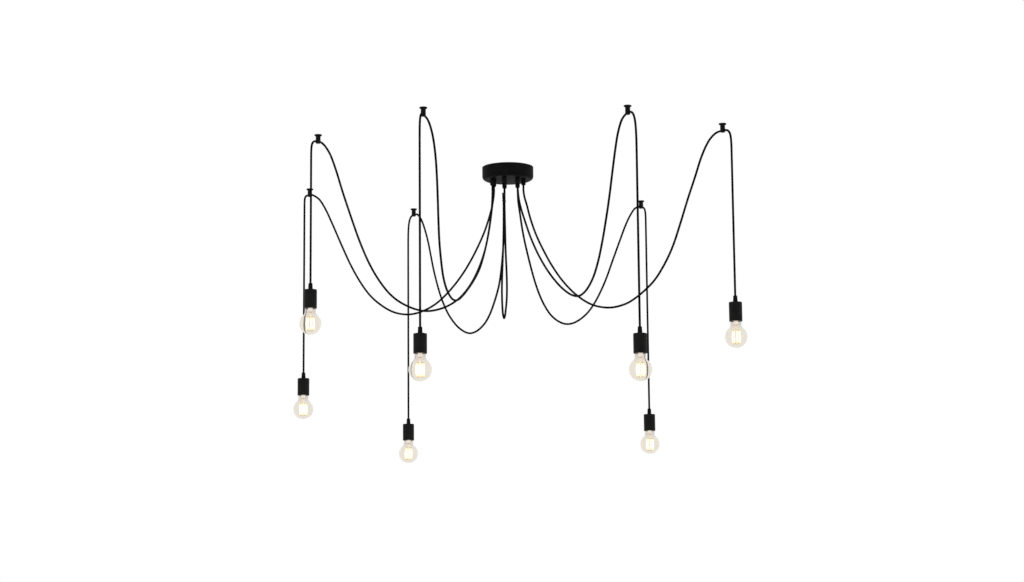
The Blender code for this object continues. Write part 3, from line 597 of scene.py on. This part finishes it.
# the drop's bend beside its hook, out and down, and the points on its straight run below
dropShares = [(0.30, 0.06), (0.55, 0.22), (0.74, 0.48), (0.87, 0.85), (0.95, 1.35), (0.99, 2.0),
              (1.0, 2.8)]
straightShares = (0.25, 0.5, 0.75, 1.0)
# the spare lead: right and back as shares of its spread, and down as a share of its depth
spare = {"depth": 0.416, "spread": 0.040}
spareShares = [
    (0.000, 0.000, 0.048), (0.000, 0.000, 0.180), (0.025, 0.025, 0.349), (0.050, 0.075, 0.500),
    (0.100, 0.150, 0.637), (0.125, 0.200, 0.757), (0.100, 0.200, 0.853), (0.025, 0.075, 0.930),
    (-0.040, -0.125, 0.981), (-0.110, -0.350, 1.000), (-0.178, -0.600, 0.981),
    (-0.225, -0.825, 0.925), (-0.250, -0.950, 0.829), (-0.228, -1.000, 0.721),
    (-0.172, -0.900, 0.589), (-0.112, -0.700, 0.445), (-0.084, -0.435, 0.313),
    (-0.074, -0.225, 0.216), (-0.072, -0.180, 0.178), (-0.072, -0.180, 0.148),
    (-0.072, -0.180, 0.096),
]
cordSize = {"diameter": 0.0062, "sides": 14, "shortestRun": 0.001, "longestRun": 0.009,
            "largestTurn": 4.0}


def swagRoute(number):
    lamp = lamps[number]
    route = [lamp["grip"] + Vector((0, 0, layout["tailUp"])), lamp["grip"]]
    for along, down in swagShares[number]:
        route.append(lamp["grip"] + lamp["away"] * along - Vector((0, 0, lamp["depth"] * down)))
    heading = lamp["away"].normalized()
    for reach in (layout["hookMouth"], layout["hookBore"], layout["endGap"]):
        route.append(lamp["pivot"] - heading * reach)
    return route


def dropRoute(number):
    lamp = lamps[number]
    mouth = layout["hookMouth"]
    reach = lamp["standoff"] - mouth
    flat = [(layout["endGap"], 0), (layout["hookBore"], 0), (mouth, 0)]
    flat += [(mouth + out * reach, -down * reach) for out, down in dropShares]
    last = flat[-1][1]
    bottom = -lamp["drop"] - layout["tailInHolder"]
    flat += [(lamp["standoff"], last + (bottom - last) * share) for share in straightShares]
    heading = lamp["away"].normalized()
    return [lamp["pivot"] + heading * out + Vector((0, 0, height)) for out, height in flat]


def spareRoute():
    mouth = gripPlace(spareSlot, layout["gripMouth"])
    route = [mouth + Vector((0, 0, layout["tailUp"])), mouth]
    for right, back, down in spareShares:
        aside = Vector((spare["spread"] * right, spare["spread"] * back, -spare["depth"] * down))
        route.append(mouth + aside)
    return route


def smoothLine(points, pieces=24):
    # one smooth curve through the points, as many short chords
    ends = [2 * points[0] - points[1]] + points + [2 * points[-1] - points[-2]]
    chords = []
    for p0, p1, p2, p3 in zip(ends, ends[1:], ends[2:], ends[3:]):
        t1 = math.sqrt((p1 - p0).length)
        t2 = t1 + math.sqrt((p2 - p1).length)
        t3 = t2 + math.sqrt((p3 - p2).length)
        for step in range(pieces):
            t = t1 + (t2 - t1) * step / pieces
            a1 = p0.lerp(p1, t / t1)
            a2 = p1.lerp(p2, (t - t1) / (t2 - t1))
            a3 = p2.lerp(p3, (t - t2) / (t3 - t2))
            b1 = a1.lerp(a2, t / t2)
            b2 = a2.lerp(a3, (t - t1) / (t3 - t1))
            chords.append(b1.lerp(b2, (t - t1) / (t2 - t1)))
    return chords + [points[-1]]


def spaced(chords):
    # keeps a point wherever the line has run or turned far enough since the last one
    shortest, kept, heading = cordSize["shortestRun"], [chords[0]], chords[1] - chords[0]
    for here, after in zip(chords[1:], chords[2:]):
        run = (here - kept[-1]).length
        turn = math.degrees(heading.angle(after - here, 0.0))
        if run > cordSize["longestRun"] or (turn > cordSize["largestTurn"] and run > shortest):
            kept.append(here)
            heading = after - here
    if (chords[-1] - kept[-1]).length < shortest:
        kept.pop()
    return kept + [chords[-1]]


def hangCord(name, route, body, node, leaves, withPieces=()):
    path = spaced(smoothLine(route))
    bm = bmesh.new()
    way = bm.loops.layers.uv.new("cordWay")
    tube(bm, path, cordSize["diameter"] / 2, cordSize["sides"], way=way)
    piece = put(name, meshOf(name, bm, ["cord"], crease["round"]), body, instead=[node])
    length = sum((b - a).length for a, b in zip(path, path[1:]))
    return length


# the closed end of the spare lead: a sleeve shrunk round the cord, a little tighter below its end
sleeve = {
    "radius": 0.0042, "bore": 0.0034, "top": 0.006, "low": -0.012, "roof": 0.0003,
    "crown": 0.0012, "edge": 0.0003, "mouthEdge": 0.0002, "steps": 40,
    "shrunk": ((0, 0.0012), (0.0003, 0.0006), (0.0001, -0.0010)),      # how far in, and where
}


def endSleeve():
    s = sleeve
    line = [(0, s["top"], 0), (s["radius"], s["top"], s["crown"])]
    line += [(s["radius"] - inward, height, s["edge"]) for inward, height in s["shrunk"]]
    line += [(s["radius"], s["low"], s["mouthEdge"]), (s["bore"], s["low"], s["mouthEdge"]),
             (s["bore"], s["roof"], 0), (0, s["roof"], 0)]
    mesh = meshOf("sleeve", lathe(softened(line), s["steps"]), ["sleeve"])
    return put("spareLeadSleeve", mesh, "ceiling_parts", at(spareRoute()[-1]),
               ["spare_lead_sleeve"])


lengths = {}
for number, lamp in lamps.items():
    fromCanopy = (lamp["grip"].x, lamp["grip"].y, layout["canopyUnder"])
    lengths[f"swag {number}"] = hangCord(
        f"swagCord_{number}", swagRoute(number), "ceiling_parts", f"swag_cord_{number}",
        fromCanopy)
    fromHook = lamp["pivot"] + lamp["away"].normalized() * layout["hookMouth"]
    lengths[f"drop {number}"] = hangCord(
        f"dropCord_{number}", dropRoute(number), f"hanging_lamp_{number}", f"drop_cord_{number}",
        fromHook)
lengths["spare"] = hangCord(
    "spareLead", spareRoute(), "ceiling_parts", "spare_lead",
    gripPlace(spareSlot, layout["canopyUnder"]), [endSleeve(), "spare_lead_tie"])
print("cords hung:", ", ".join(f"{name} {length:.3f}" for name, length in lengths.items()))


# the canopy: a spun cup with a rounded lower edge
canopy = {
    "radius": 0.0775, "height": 0.039, "wall": 0.0012, "edge": 0.011, "edgeSteps": 14, "steps": 160,
    "rimEdge": 0.0003, "rimBand": 0.002, "gripHole": 0.0051, "screwHole": 0.0023,
    "screwHeight": -0.013, "drill": 0.01,
}


def canopyEdge(bend):
    # the rounded lower edge, from the wall down to the underside
    middle = Vector((canopy["radius"] - canopy["edge"], canopy["edge"] - canopy["height"]))
    angles = [0.5 * math.pi * step / canopy["edgeSteps"] for step in range(canopy["edgeSteps"] + 1)]
    return [middle + bend * Vector((math.cos(angle), -math.sin(angle))) for angle in angles]


def makeCanopy():
    c = canopy
    radius, low, inner = c["radius"], -c["height"], c["radius"] - c["wall"]
    top = softened([(inner, -c["rimBand"], 0), (inner, 0, c["rimEdge"]), (radius, 0, c["rimEdge"]),
                    (radius, -c["rimBand"], 0)])
    inside = canopyEdge(c["edge"] - c["wall"])
    line = [(0, low + c["wall"]), *reversed(inside), *top, *canopyEdge(c["edge"]), (0, low)]
    mesh = meshOf("canopy", lathe(line, c["steps"]), ["canopy"])
    holes = [rod(c["gripHole"], c["drill"], at(gripPlace(slot, low))) for slot in usedSlots]
    for side in (-1, 1):
        across = at((side * radius, 0, c["screwHeight"])) @ Matrix.Rotation(math.pi / 2, 4, "Y")
        holes.append(rod(c["screwHole"], c["drill"], across))
    put("canopy", bored(mesh, holes), "ceiling_parts", instead=["canopy_cup"])


makeCanopy()
print("canopy turned")


# cord grips: a nut, a stem through the wall, and a collar that narrows towards the cord
gripSizes = {
    "canopy": {"wall": 0.0012, "radius": 0.0070, "length": 0.0160, "tip": 0.0058, "taper": 0.004},
    "holder": {"wall": 0.0030, "radius": 0.0064, "length": 0.0182, "tip": 0.0057, "taper": 0.0165},
    "nut": 0.0068, "nutHeight": 0.003, "nutEdge": 0.0004, "flatShare": 0.9,
    "stem": 0.0048, "bore": 0.0034, "gap": 0.0003, "steps": 48,
    "groove": {"depth": 0.0004, "top": -0.0034, "low": -0.0047, "slope": 0.0003, "edge": 0.0002},
    "edges": {"shoulder": 0.0005, "taper": 0.0010, "tip": 0.0006, "mouth": 0.0004, "top": 0.0003},
}
gripTurn = 0.7      # radians more for each canopy grip, because nobody screws them all in alike


def gripMesh(kind):
    g, own = gripSizes, gripSizes[kind]
    groove, edges, gap = g["groove"], g["edges"], g["gap"]
    low, top, end = own["wall"] + gap, own["wall"] + gap + g["nutHeight"], -own["length"]
    deep = own["radius"] - groove["depth"]
    line = softened([
        (g["nut"], top, g["nutEdge"]), (g["nut"], low, g["nutEdge"]), (g["stem"], low, 0),
        (g["stem"], -gap, 0), (own["radius"], -gap, edges["shoulder"]),
        (own["radius"], groove["top"], groove["edge"]),
        (deep, groove["top"] - groove["slope"], groove["edge"]),
        (deep, groove["low"] + groove["slope"], groove["edge"]),
        (own["radius"], groove["low"], groove["edge"]),
        (own["radius"], own["taper"] + end, edges["taper"]), (own["tip"], end, edges["tip"]),
        (g["bore"], end, edges["mouth"]), (g["bore"], top, edges["top"])], 4)

    def sixSided(reach, height, angle):
        # the nut has six flats
        if height < low or reach < g["stem"]:
            return reach
        part = (angle + math.pi / 6) % (math.pi / 3) - math.pi / 6
        return min(reach, g["nut"] * g["flatShare"] / math.cos(part))

    return meshOf(kind + "Grip", lathe(line, g["steps"], closed=True, shape=sixSided), ["grip"])


canopyGrip = gripMesh("canopy")
for number, slot in enumerate(usedSlots, 1):
    put(f"canopyGrip_{number}", canopyGrip, "ceiling_parts",
        at(gripPlace(slot, layout["canopyUnder"]), gripTurn * number), [f"canopy_grip_{number}"])
print("canopy grips fitted")


# ceiling hooks: a flange, a short post and a hole across it for the cord
hookSizes = {
    "flange": 0.0107, "flangeEdge": 0.003, "neck": 0.0068, "neckHeight": -0.005, "body": 0.0071,
    "nose": 0.0055, "noseTop": -0.0241, "height": -0.0255, "hole": 0.0034, "mouth": 0.0040,
    "mouthDepth": 0.0012, "overrun": 0.002, "stud": 0.0021, "studDepth": -0.012,
    "steps": 64, "holeSteps": 32,
    "edges": {"stud": 0.0003, "rim": 0.0005, "under": 0.0007, "neck": 0.0008, "body": 0.0006,
              "nose": 0.0007},
}


def hookMesh():
    s, edges = hookSizes, hookSizes["edges"]
    line = softened([
        (0, s["studDepth"], 0), (s["stud"], s["studDepth"], 0), (s["stud"], 0, edges["stud"]),
        (s["flange"], 0, edges["rim"]), (s["flange"], -s["flangeEdge"], edges["under"]),
        (s["neck"], s["neckHeight"], edges["neck"]), (s["body"], layout["hookHole"], 0),
        (s["body"], s["noseTop"], edges["body"]), (s["nose"], s["height"], edges["nose"]),
        (0, s["height"], 0)])
    post = meshOf("hook", lathe(line, s["steps"]), ["hook"])
    body, reach, inner = s["body"], s["body"] + s["overrun"], s["body"] - s["mouthDepth"]
    wide = s["mouth"] + (s["mouth"] - s["hole"])
    way = [(0, reach), (wide, reach), (s["mouth"], body), (s["hole"], inner),
           (s["hole"], -inner), (s["mouth"], -body), (wide, -reach), (0, -reach)]
    across = at((0, 0, layout["hookHole"])) @ Matrix.Rotation(math.pi / 2, 4, "Y")
    return bored(post, [meshOf("way", lathe(way, s["holeSteps"], place=across), ["hook"])])


ceilingHook = hookMesh()
for number, lamp in lamps.items():
    put(f"ceilingHook_{number}", ceilingHook, "ceiling_parts",
        at(lamp["hook"], lamp["turn"]), [f"ceiling_hook_{number}"])
print("hooks fitted")


# lampholders
holder = {
    "radius": 0.01825, "height": 0.053, "edge": 0.0015, "topWall": 0.003, "hole": 0.0051,
    "chamber": 0.0120, "chamberLow": -0.015, "thread": 0.0135, "threadSlack": 0.0002,
    "shroud": 0.0161, "shroudTop": -0.043, "topBand": 0.003, "lowBand": 0.0015,
    "holeEdge": 0.0002, "rimEdge": 0.0006, "seatEdge": 0.0003, "steps": 96,
}


def holderMesh():
    h = holder
    low = -h["height"]
    line = softened([
        (h["hole"], 0, h["holeEdge"]), (h["radius"] - h["topBand"], 0, 0), (h["radius"], 0, h["edge"]),
        (h["radius"], -h["topBand"], 0), (h["radius"], low + h["lowBand"], 0),
        (h["radius"], low, h["rimEdge"]), (h["shroud"], low, h["rimEdge"]),
        (h["shroud"], h["shroudTop"], h["seatEdge"]), (h["thread"], h["shroudTop"], h["seatEdge"]),
        (h["thread"], h["chamberLow"], 0), (h["chamber"], h["chamberLow"], 0),
        (h["chamber"], -h["topWall"], 0), (h["hole"], -h["topWall"], 0)], 6)
    bm = lathe(line, h["steps"], closed=True)
    for face in bm.faces:
        middle = face.calc_center_median()
        if abs(math.hypot(middle.x, middle.y) - h["thread"]) < h["threadSlack"]:
            face.material_index = 1      # the brass shell that the bulb's cap screws into
    return meshOf("holder", bm, ["holder", "brass"])


# bulbs; heights are from the lampholder's lower rim
bulb = {
    "radius": 0.031, "equator": -0.0431, "bottom": -0.0741, "neck": 0.0155, "glass": 0.0003,
    "shoulder": 50.0,      # degrees above the equator where the neck's curve meets the globe
    "neckTop": 0.0087, "lipIn": 0.0008, "lipUp": 0.0004, "lipDown": 0.0006, "underCap": 0.0002,
    "neckRows": 8, "globeRows": 30, "steps": 72,
}
cap = {
    "radius": 0.0132, "low": 0.0097, "top": 0.0320, "wall": 0.0018, "footIn": 0.0009, "rows": 60,
    "shoulderIn": 0.0012, "rise": 0.0004, "hole": 0.0085, "crown": 0.0010,
    "pitch": 0.0036, "threadDepth": 0.0007, "threadFrom": 0.003, "threadTo": 0.0015, "fade": 0.0015,
    "outerShare": 0.98,      # what is nearer to the axis isn't rolled
    "insulator": {"radius": 0.0082, "foot": 0.0002, "side": 0.0012, "collar": 0.0006,
                  "below": 0.0012, "edge": 0.0004},
    "contact": {"radius": 0.0055, "top": 0.0350, "height": 0.0014, "taper": 0.0010, "edge": 0.0005},
    "endSteps": 48,
}


def globeLine():
    b = bulb
    angle = math.radians(b["shoulder"])
    meet = Vector((b["radius"] * math.cos(angle), b["equator"] + b["radius"] * math.sin(angle)))
    back = (meet.x - b["neck"]) / math.sin(angle)
    bend = Vector((b["neck"], meet.y + back * math.cos(angle)))
    start = Vector((b["neck"], bend.y + back))
    line = [Vector((cap["radius"] - b["lipIn"], cap["low"] - b["underCap"])),
            Vector((b["neck"] - b["lipIn"], b["neckTop"] + b["lipUp"])),
            Vector((b["neck"], b["neckTop"] - b["lipDown"])), Vector((b["neck"], 0.0))]
    for row in range(b["neckRows"] + 1):
        share = row / b["neckRows"]
        line.append(start * (1 - share) ** 2 + bend * 2 * share * (1 - share) + meet * share ** 2)
    for row in range(1, b["globeRows"] + 1):
        turn = angle - (angle + math.pi / 2) * row / b["globeRows"]
        tall = b["radius"] if turn > 0 else b["equator"] - b["bottom"]
        line.append(Vector((b["radius"] * math.cos(turn), b["equator"] + tall * math.sin(turn))))
    line[-1].x = 0
    return line


def inset(line, distance):
    moved = []
    for spot, point in enumerate(line):
        along = (line[min(spot + 1, len(line) - 1)] - line[max(spot - 1, 0)]).normalized()
        moved.append(point + Vector((along.y, -along.x)) * distance)
    moved[-1] = Vector((0, line[-1].y + distance))
    return moved


def glassMesh():
    outer = globeLine()
    inner = inset(outer, bulb["glass"])
    wall = lathe(list(reversed(inner)) + outer, bulb["steps"])
    return meshOf("bulbGlass", wall, ["glass"], crease["round"])


def capMesh():
    # a rolled brass thread, a black insulator and the contact at its end
    c, black, tip = cap, cap["insulator"], cap["contact"]
    low, top = c["low"], c["top"]
    threadLow, threadTop = low + c["threadFrom"], top - c["threadTo"]

    def rolled(reach, height, angle):
        if not threadLow < height < threadTop or reach < c["radius"] * c["outerShare"]:
            return reach
        turn = 2 * math.pi * height / c["pitch"] - angle
        ease = min(1, (height - threadLow) / c["fade"], (threadTop - height) / c["fade"])
        return reach - c["threadDepth"] * ease * (0.5 - 0.5 * math.cos(turn))

    side = [(c["radius"], low + (top - low) * row / c["rows"]) for row in range(c["rows"] + 1)]
    line = [(c["radius"] - c["footIn"], low), *side, (c["radius"] - c["shoulderIn"], top + c["rise"]),
            (c["hole"], top + c["crown"]), (c["hole"], top + c["rise"]),
            (c["radius"] - c["wall"], top - c["rise"]), (c["radius"] - c["wall"], low)]
    bm = lathe(line, bulb["steps"], closed=True, shape=rolled)
    foot, end = top + black["foot"], tip["top"] - black["below"]
    insulator = softened([
        (0, foot, 0), (black["radius"], foot, 0), (black["radius"], top + black["side"], black["edge"]),
        (tip["radius"] + black["collar"], end, black["edge"]), (0, end, 0)])
    lathe(insulator, c["endSteps"], bm=bm, number=1)
    seat = tip["top"] - tip["height"]
    contact = softened([
        (0, seat, 0), (tip["radius"], seat, 0), (tip["radius"] - tip["taper"], tip["top"], tip["edge"]),
        (0, tip["top"], 0)])
    lathe(contact, c["endSteps"], bm=bm, number=2)
    return meshOf("bulbCap", bm, ["brass", "insulator", "steel"])


# what stands in the bulb under its cap: outlines as radius, height and rounding
stem = {
    "flare": [(0, 0.0085, 0), (0.0115, 0.0085, 0.0006), (0.0080, 0.0040, 0.0020),
              (0.0066, 0.0006, 0.0004), (0, 0.0006, 0)],
    "mount": [(0, 0, 0), (0.0066, 0, 0.0006), (0.0060, -0.0035, 0.0020), (0.0044, -0.0085, 0.0010),
              (0, -0.0095, 0)],
    "pole": [(0, -0.0255, 0), (0.0010, -0.0255, 0), (0.0010, -0.0604, 0.0006), (0, -0.0604, 0)],
    "collar": [(0, -0.0120, 0), (0.0031, -0.0120, 0.0004), (0.0031, -0.0252, 0.0004), (0, -0.0252, 0)],
    "bead": {"reach": 0.0046, "middle": -0.0108, "half": 0.0019, "rows": 10, "steps": 32},
    "steps": 40, "poleSteps": 20, "collarSteps": 24,
}


def insideMesh():
    # the stem, its bead, the wires and the lit threads
    t, bead, hub = threads, stem["bead"], threads["hub"]
    order = ["stem", "bead", "wire", "thread", "mount", "post"]
    bm = lathe(softened(stem["flare"]), stem["steps"])
    lathe(softened(stem["mount"]), stem["steps"], bm=bm, number=order.index("mount"))
    lathe(softened(stem["pole"]), stem["poleSteps"], bm=bm)
    lathe(softened(stem["collar"]), stem["collarSteps"], bm=bm, number=order.index("post"))
    dome = []
    for row in range(bead["rows"] + 1):
        angle = math.pi * row / bead["rows"]
        reach = bead["reach"] * math.sin(angle) if 0 < row < bead["rows"] else 0
        dome.append((reach, bead["middle"] + bead["half"] * math.cos(angle)))
    lathe(dome, bead["steps"], bm=bm, number=order.index("bead"))
    hubHeights = (t["top"] + t["hubAbove"], t["bottom"] - t["hubBelow"])
    for height in hubHeights:
        high, low = height + hub["half"], height - hub["half"]
        ring = softened([(hub["bore"], high, hub["edge"]), (hub["reach"], high, hub["edge"]),
                         (hub["reach"], low, hub["edge"]), (hub["bore"], low, hub["edge"])])
        lathe(ring, hub["steps"], closed=True, bm=bm, number=order.index("post"))
    up = Vector((0, 0, 1))
    for number in range(t["count"]):
        turn = math.radians(360 * number / t["count"])
        out = Vector((math.cos(turn), math.sin(turn), 0))
        top, bottom = out * t["ring"] + up * t["top"], out * t["ring"] + up * t["bottom"]
        middle = top.lerp(bottom, 0.5) + out * t["bow"]
        tube(bm, smoothLine([top, middle, bottom], 8), t["thick"], t["sides"], order.index("thread"))
        for end, side, height in zip((top, bottom), (1, -1), hubHeights):
            away = up * side
            knee = end + away * t["knee"]
            rest = out * (hub["reach"] - hub["edge"]) + up * height
            wire = [end - away * t["wireInside"], knee, rest.lerp(knee, 0.5) + away * t["wireBow"], rest]
            tube(bm, smoothLine(wire, 6), t["wire"], t["wireSides"], order.index("wire"))
    return meshOf("bulbInside", bm, order, crease["fine"])


bulbTurns = {1: 0, 2: 5, 3: -4, 4: 3, 5: -6, 6: 4, 7: -3}      # degrees, no two quite alike
holderTurned, holderGrip = holderMesh(), gripMesh("holder")
glassBlown, capRolled, insideMade = glassMesh(), capMesh(), insideMesh()
flip = Matrix.Rotation(math.pi, 4, "X")
for number, lamp in lamps.items():
    swing, screwed = f"hanging_lamp_{number}", f"screwed_bulb_{number}"
    top = at(lamp["holderTop"], lamp["turn"])
    put(f"lampHolder_{number}", holderTurned, swing, top, [f"lamp_holder_{number}"])
    put(f"holderGrip_{number}", holderGrip, swing, top @ flip, [f"holder_grip_{number}"])
    rim = at(lamp["rim"], math.radians(bulbTurns[number]))
    put(f"bulbGlass_{number}", glassBlown, screwed, rim, [f"bulb_{number}"])
    put(f"bulbCap_{number}", capRolled, screwed, rim)
    put(f"bulbInside_{number}", insideMade, screwed, rim)
print("lamps hung")


# inside the canopy: bracket, terminal block and screws
small = {
    "screw": 0.0015, "tipHeight": -0.0005, "head": 0.0030, "headHeight": 0.002, "edge": 0.0003,
    "crownIn": 0.0007, "crownHeight": 0.0006, "crownEdge": 0.0004, "steps": 40,
    "slot": (0.008, 0.0008, 0.0018), "turn": 0.5,      # the driver's slot, and its turn in radians
    "grub": 0.002, "grubLength": 0.008, "grubPoint": 0.0005, "grubSteps": 32, "socketDepth": 0.002,
}


def dress(node, finishName):
    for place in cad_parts[node].material_slots:
        place.material = finishes[finishName]


def screwMesh(seat):
    s = small
    low, edge = seat - s["headHeight"], s["edge"]
    line = softened([
        (0, s["tipHeight"], 0), (s["screw"], s["tipHeight"], edge), (s["screw"], seat, 0),
        (s["head"], seat, edge), (s["head"], low + s["crownHeight"], edge),
        (s["head"] - s["crownIn"], low, s["crownEdge"]), (0, low, 0)])
    head = meshOf("screw", lathe(line, s["steps"]), ["steel"])
    blade = bmesh.new()
    slot = Matrix.Translation((0, 0, low)) @ Matrix.Diagonal((*s["slot"], 1))
    bmesh.ops.create_cube(blade, size=1.0, matrix=slot)
    return bored(head, [meshOf("blade", blade, ["steel"])])


def grubMesh():
    s = small
    half = s["grubLength"] / 2
    line = softened([(0, half, 0), (s["grub"], half, s["edge"]), (s["grub"], -half, s["grubPoint"]),
                     (0, -half, 0)])
    socket = rod(s["grub"] / 2, 2 * s["socketDepth"], at((0, 0, half)), 6)
    return bored(meshOf("grub", lathe(line, s["grubSteps"]), ["steel"]), [socket])


def innerParts():
    dress("ceiling_bracket", "zinc")
    dress("terminal_block", "terminal")
    dress("spare_lead_tie", "tie")
    for node in ("terminal_screw", "earth_screw"):
        low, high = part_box(node)
        middle = (low + high) / 2
        name = node.replace("_s", "S")
        put(name, screwMesh(low.z + small["headHeight"]), "ceiling_parts",
            at((middle.x, middle.y, 0), small["turn"]), [node])
    grub = grubMesh()
    for number in (1, 2):
        low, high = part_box(f"canopy_screw_{number}")
        middle = (low + high) / 2
        place = at(middle, 0 if middle.x > 0 else math.pi) @ Matrix.Rotation(math.pi / 2, 4, "Y")
        put(f"canopyScrew_{number}", grub, "ceiling_parts", place, [f"canopy_screw_{number}"])


innerParts()
print("inner parts fitted")


# world, lights and floor
studio = {
    "around": (1.0, 1.0, 1.0),          # the plain light that comes from everywhere
    "background": (1.0, 1.0, 1.0),
    "aim": (0, 0, -0.55),
    "lights": {
        "leftSoftbox": {"place": (-3.6, -3.2, -0.1), "size": (1.6, 2.0), "power": 14.0},
        "rightSoftbox": {"place": (3.9, -1.6, -0.2), "size": (1.2, 2.0), "power": 7.0},
        "overhead": {"place": (0.4, -0.8, 2.6), "size": (3.0, 2.4), "power": 30.0},
    },
    "floor": {"height": -2.4, "radius": 7.0, "solid": 2.6, "steps": 96, "rough": 0.7, "shine": 0.2,
              "speck": 9.0, "stops": (0.3, 0.7), "dark": (0.86, 0.86, 0.85), "pale": (0.89, 0.89, 0.88)},
}


def makeWorld():
    world = bpy.data.worlds.new("studio")
    world.use_nodes = True
    bpy.context.scene.world = world
    board = Board(world.node_tree)
    # the background shows to the camera, mirrored, and through glass
    rays = ("Is Camera Ray", "Is Glossy Ray", "Is Transmission Ray")
    seen = sum(board.node("ShaderNodeLightPath", out=ray) for ray in rays)
    background = world.node_tree.nodes["Background"]
    board.feed(background.inputs["Color"], board.blend(seen, studio["around"], studio["background"]))


def makeLights():
    for name, look in studio["lights"].items():
        data = bpy.data.lights.new(name, "AREA")
        data.shape = "RECTANGLE"
        data.size, data.size_y = look["size"]
        data.energy = look["power"]
        light = linked(name, data)
        light.location = look["place"]
        aim = Vector(studio["aim"]) - light.location
        light.rotation_mode = "QUATERNION"
        light.rotation_quaternion = aim.to_track_quat("-Z", "Y")
        light.visible_camera = False
        light.visible_transmission = False


def makeFloor():
    # pale and open at its edge; seen from below it isn't there
    look = studio["floor"]
    made = Finish("paleFloor", {"Roughness": look["rough"], "Specular IOR Level": look["shine"]})
    speck = made.noise(look["speck"], 5.0)
    made.wear("Base Color", made.ramp(speck, zip(look["stops"], (look["dark"], look["pale"]))))
    spot = made.node("ShaderNodeVectorMath", {"operation": "LENGTH"}, {0: made.where()}, out=1)
    fade = made.span(spot, look["solid"], look["radius"], 0.0, 1.0)
    under = made.node("ShaderNodeNewGeometry", out="Backfacing")
    clear = made.node("ShaderNodeBsdfTransparent")
    surface = made.node("ShaderNodeMixShader", sockets={
        0: fade.atLeast(under), 1: Value(made, made.shader.outputs[0]), 2: clear})
    made.feed(made.tree.nodes["Material Output"].inputs["Surface"], surface)
    finishes["floor"] = made.material
    disc = meshOf("floor", lathe([(0, 0), (look["radius"], 0)], look["steps"]), ["floor"])
    if disc.polygons[0].normal.z < 0:
        disc.flip_normals()      # its front is its upper side
    floor = linked("floor", disc)
    floor.location = (0, 0, look["height"])


makeWorld()
makeLights()
makeFloor()
bpy.context.scene.view_settings.view_transform = "Standard"
print("studio lit")
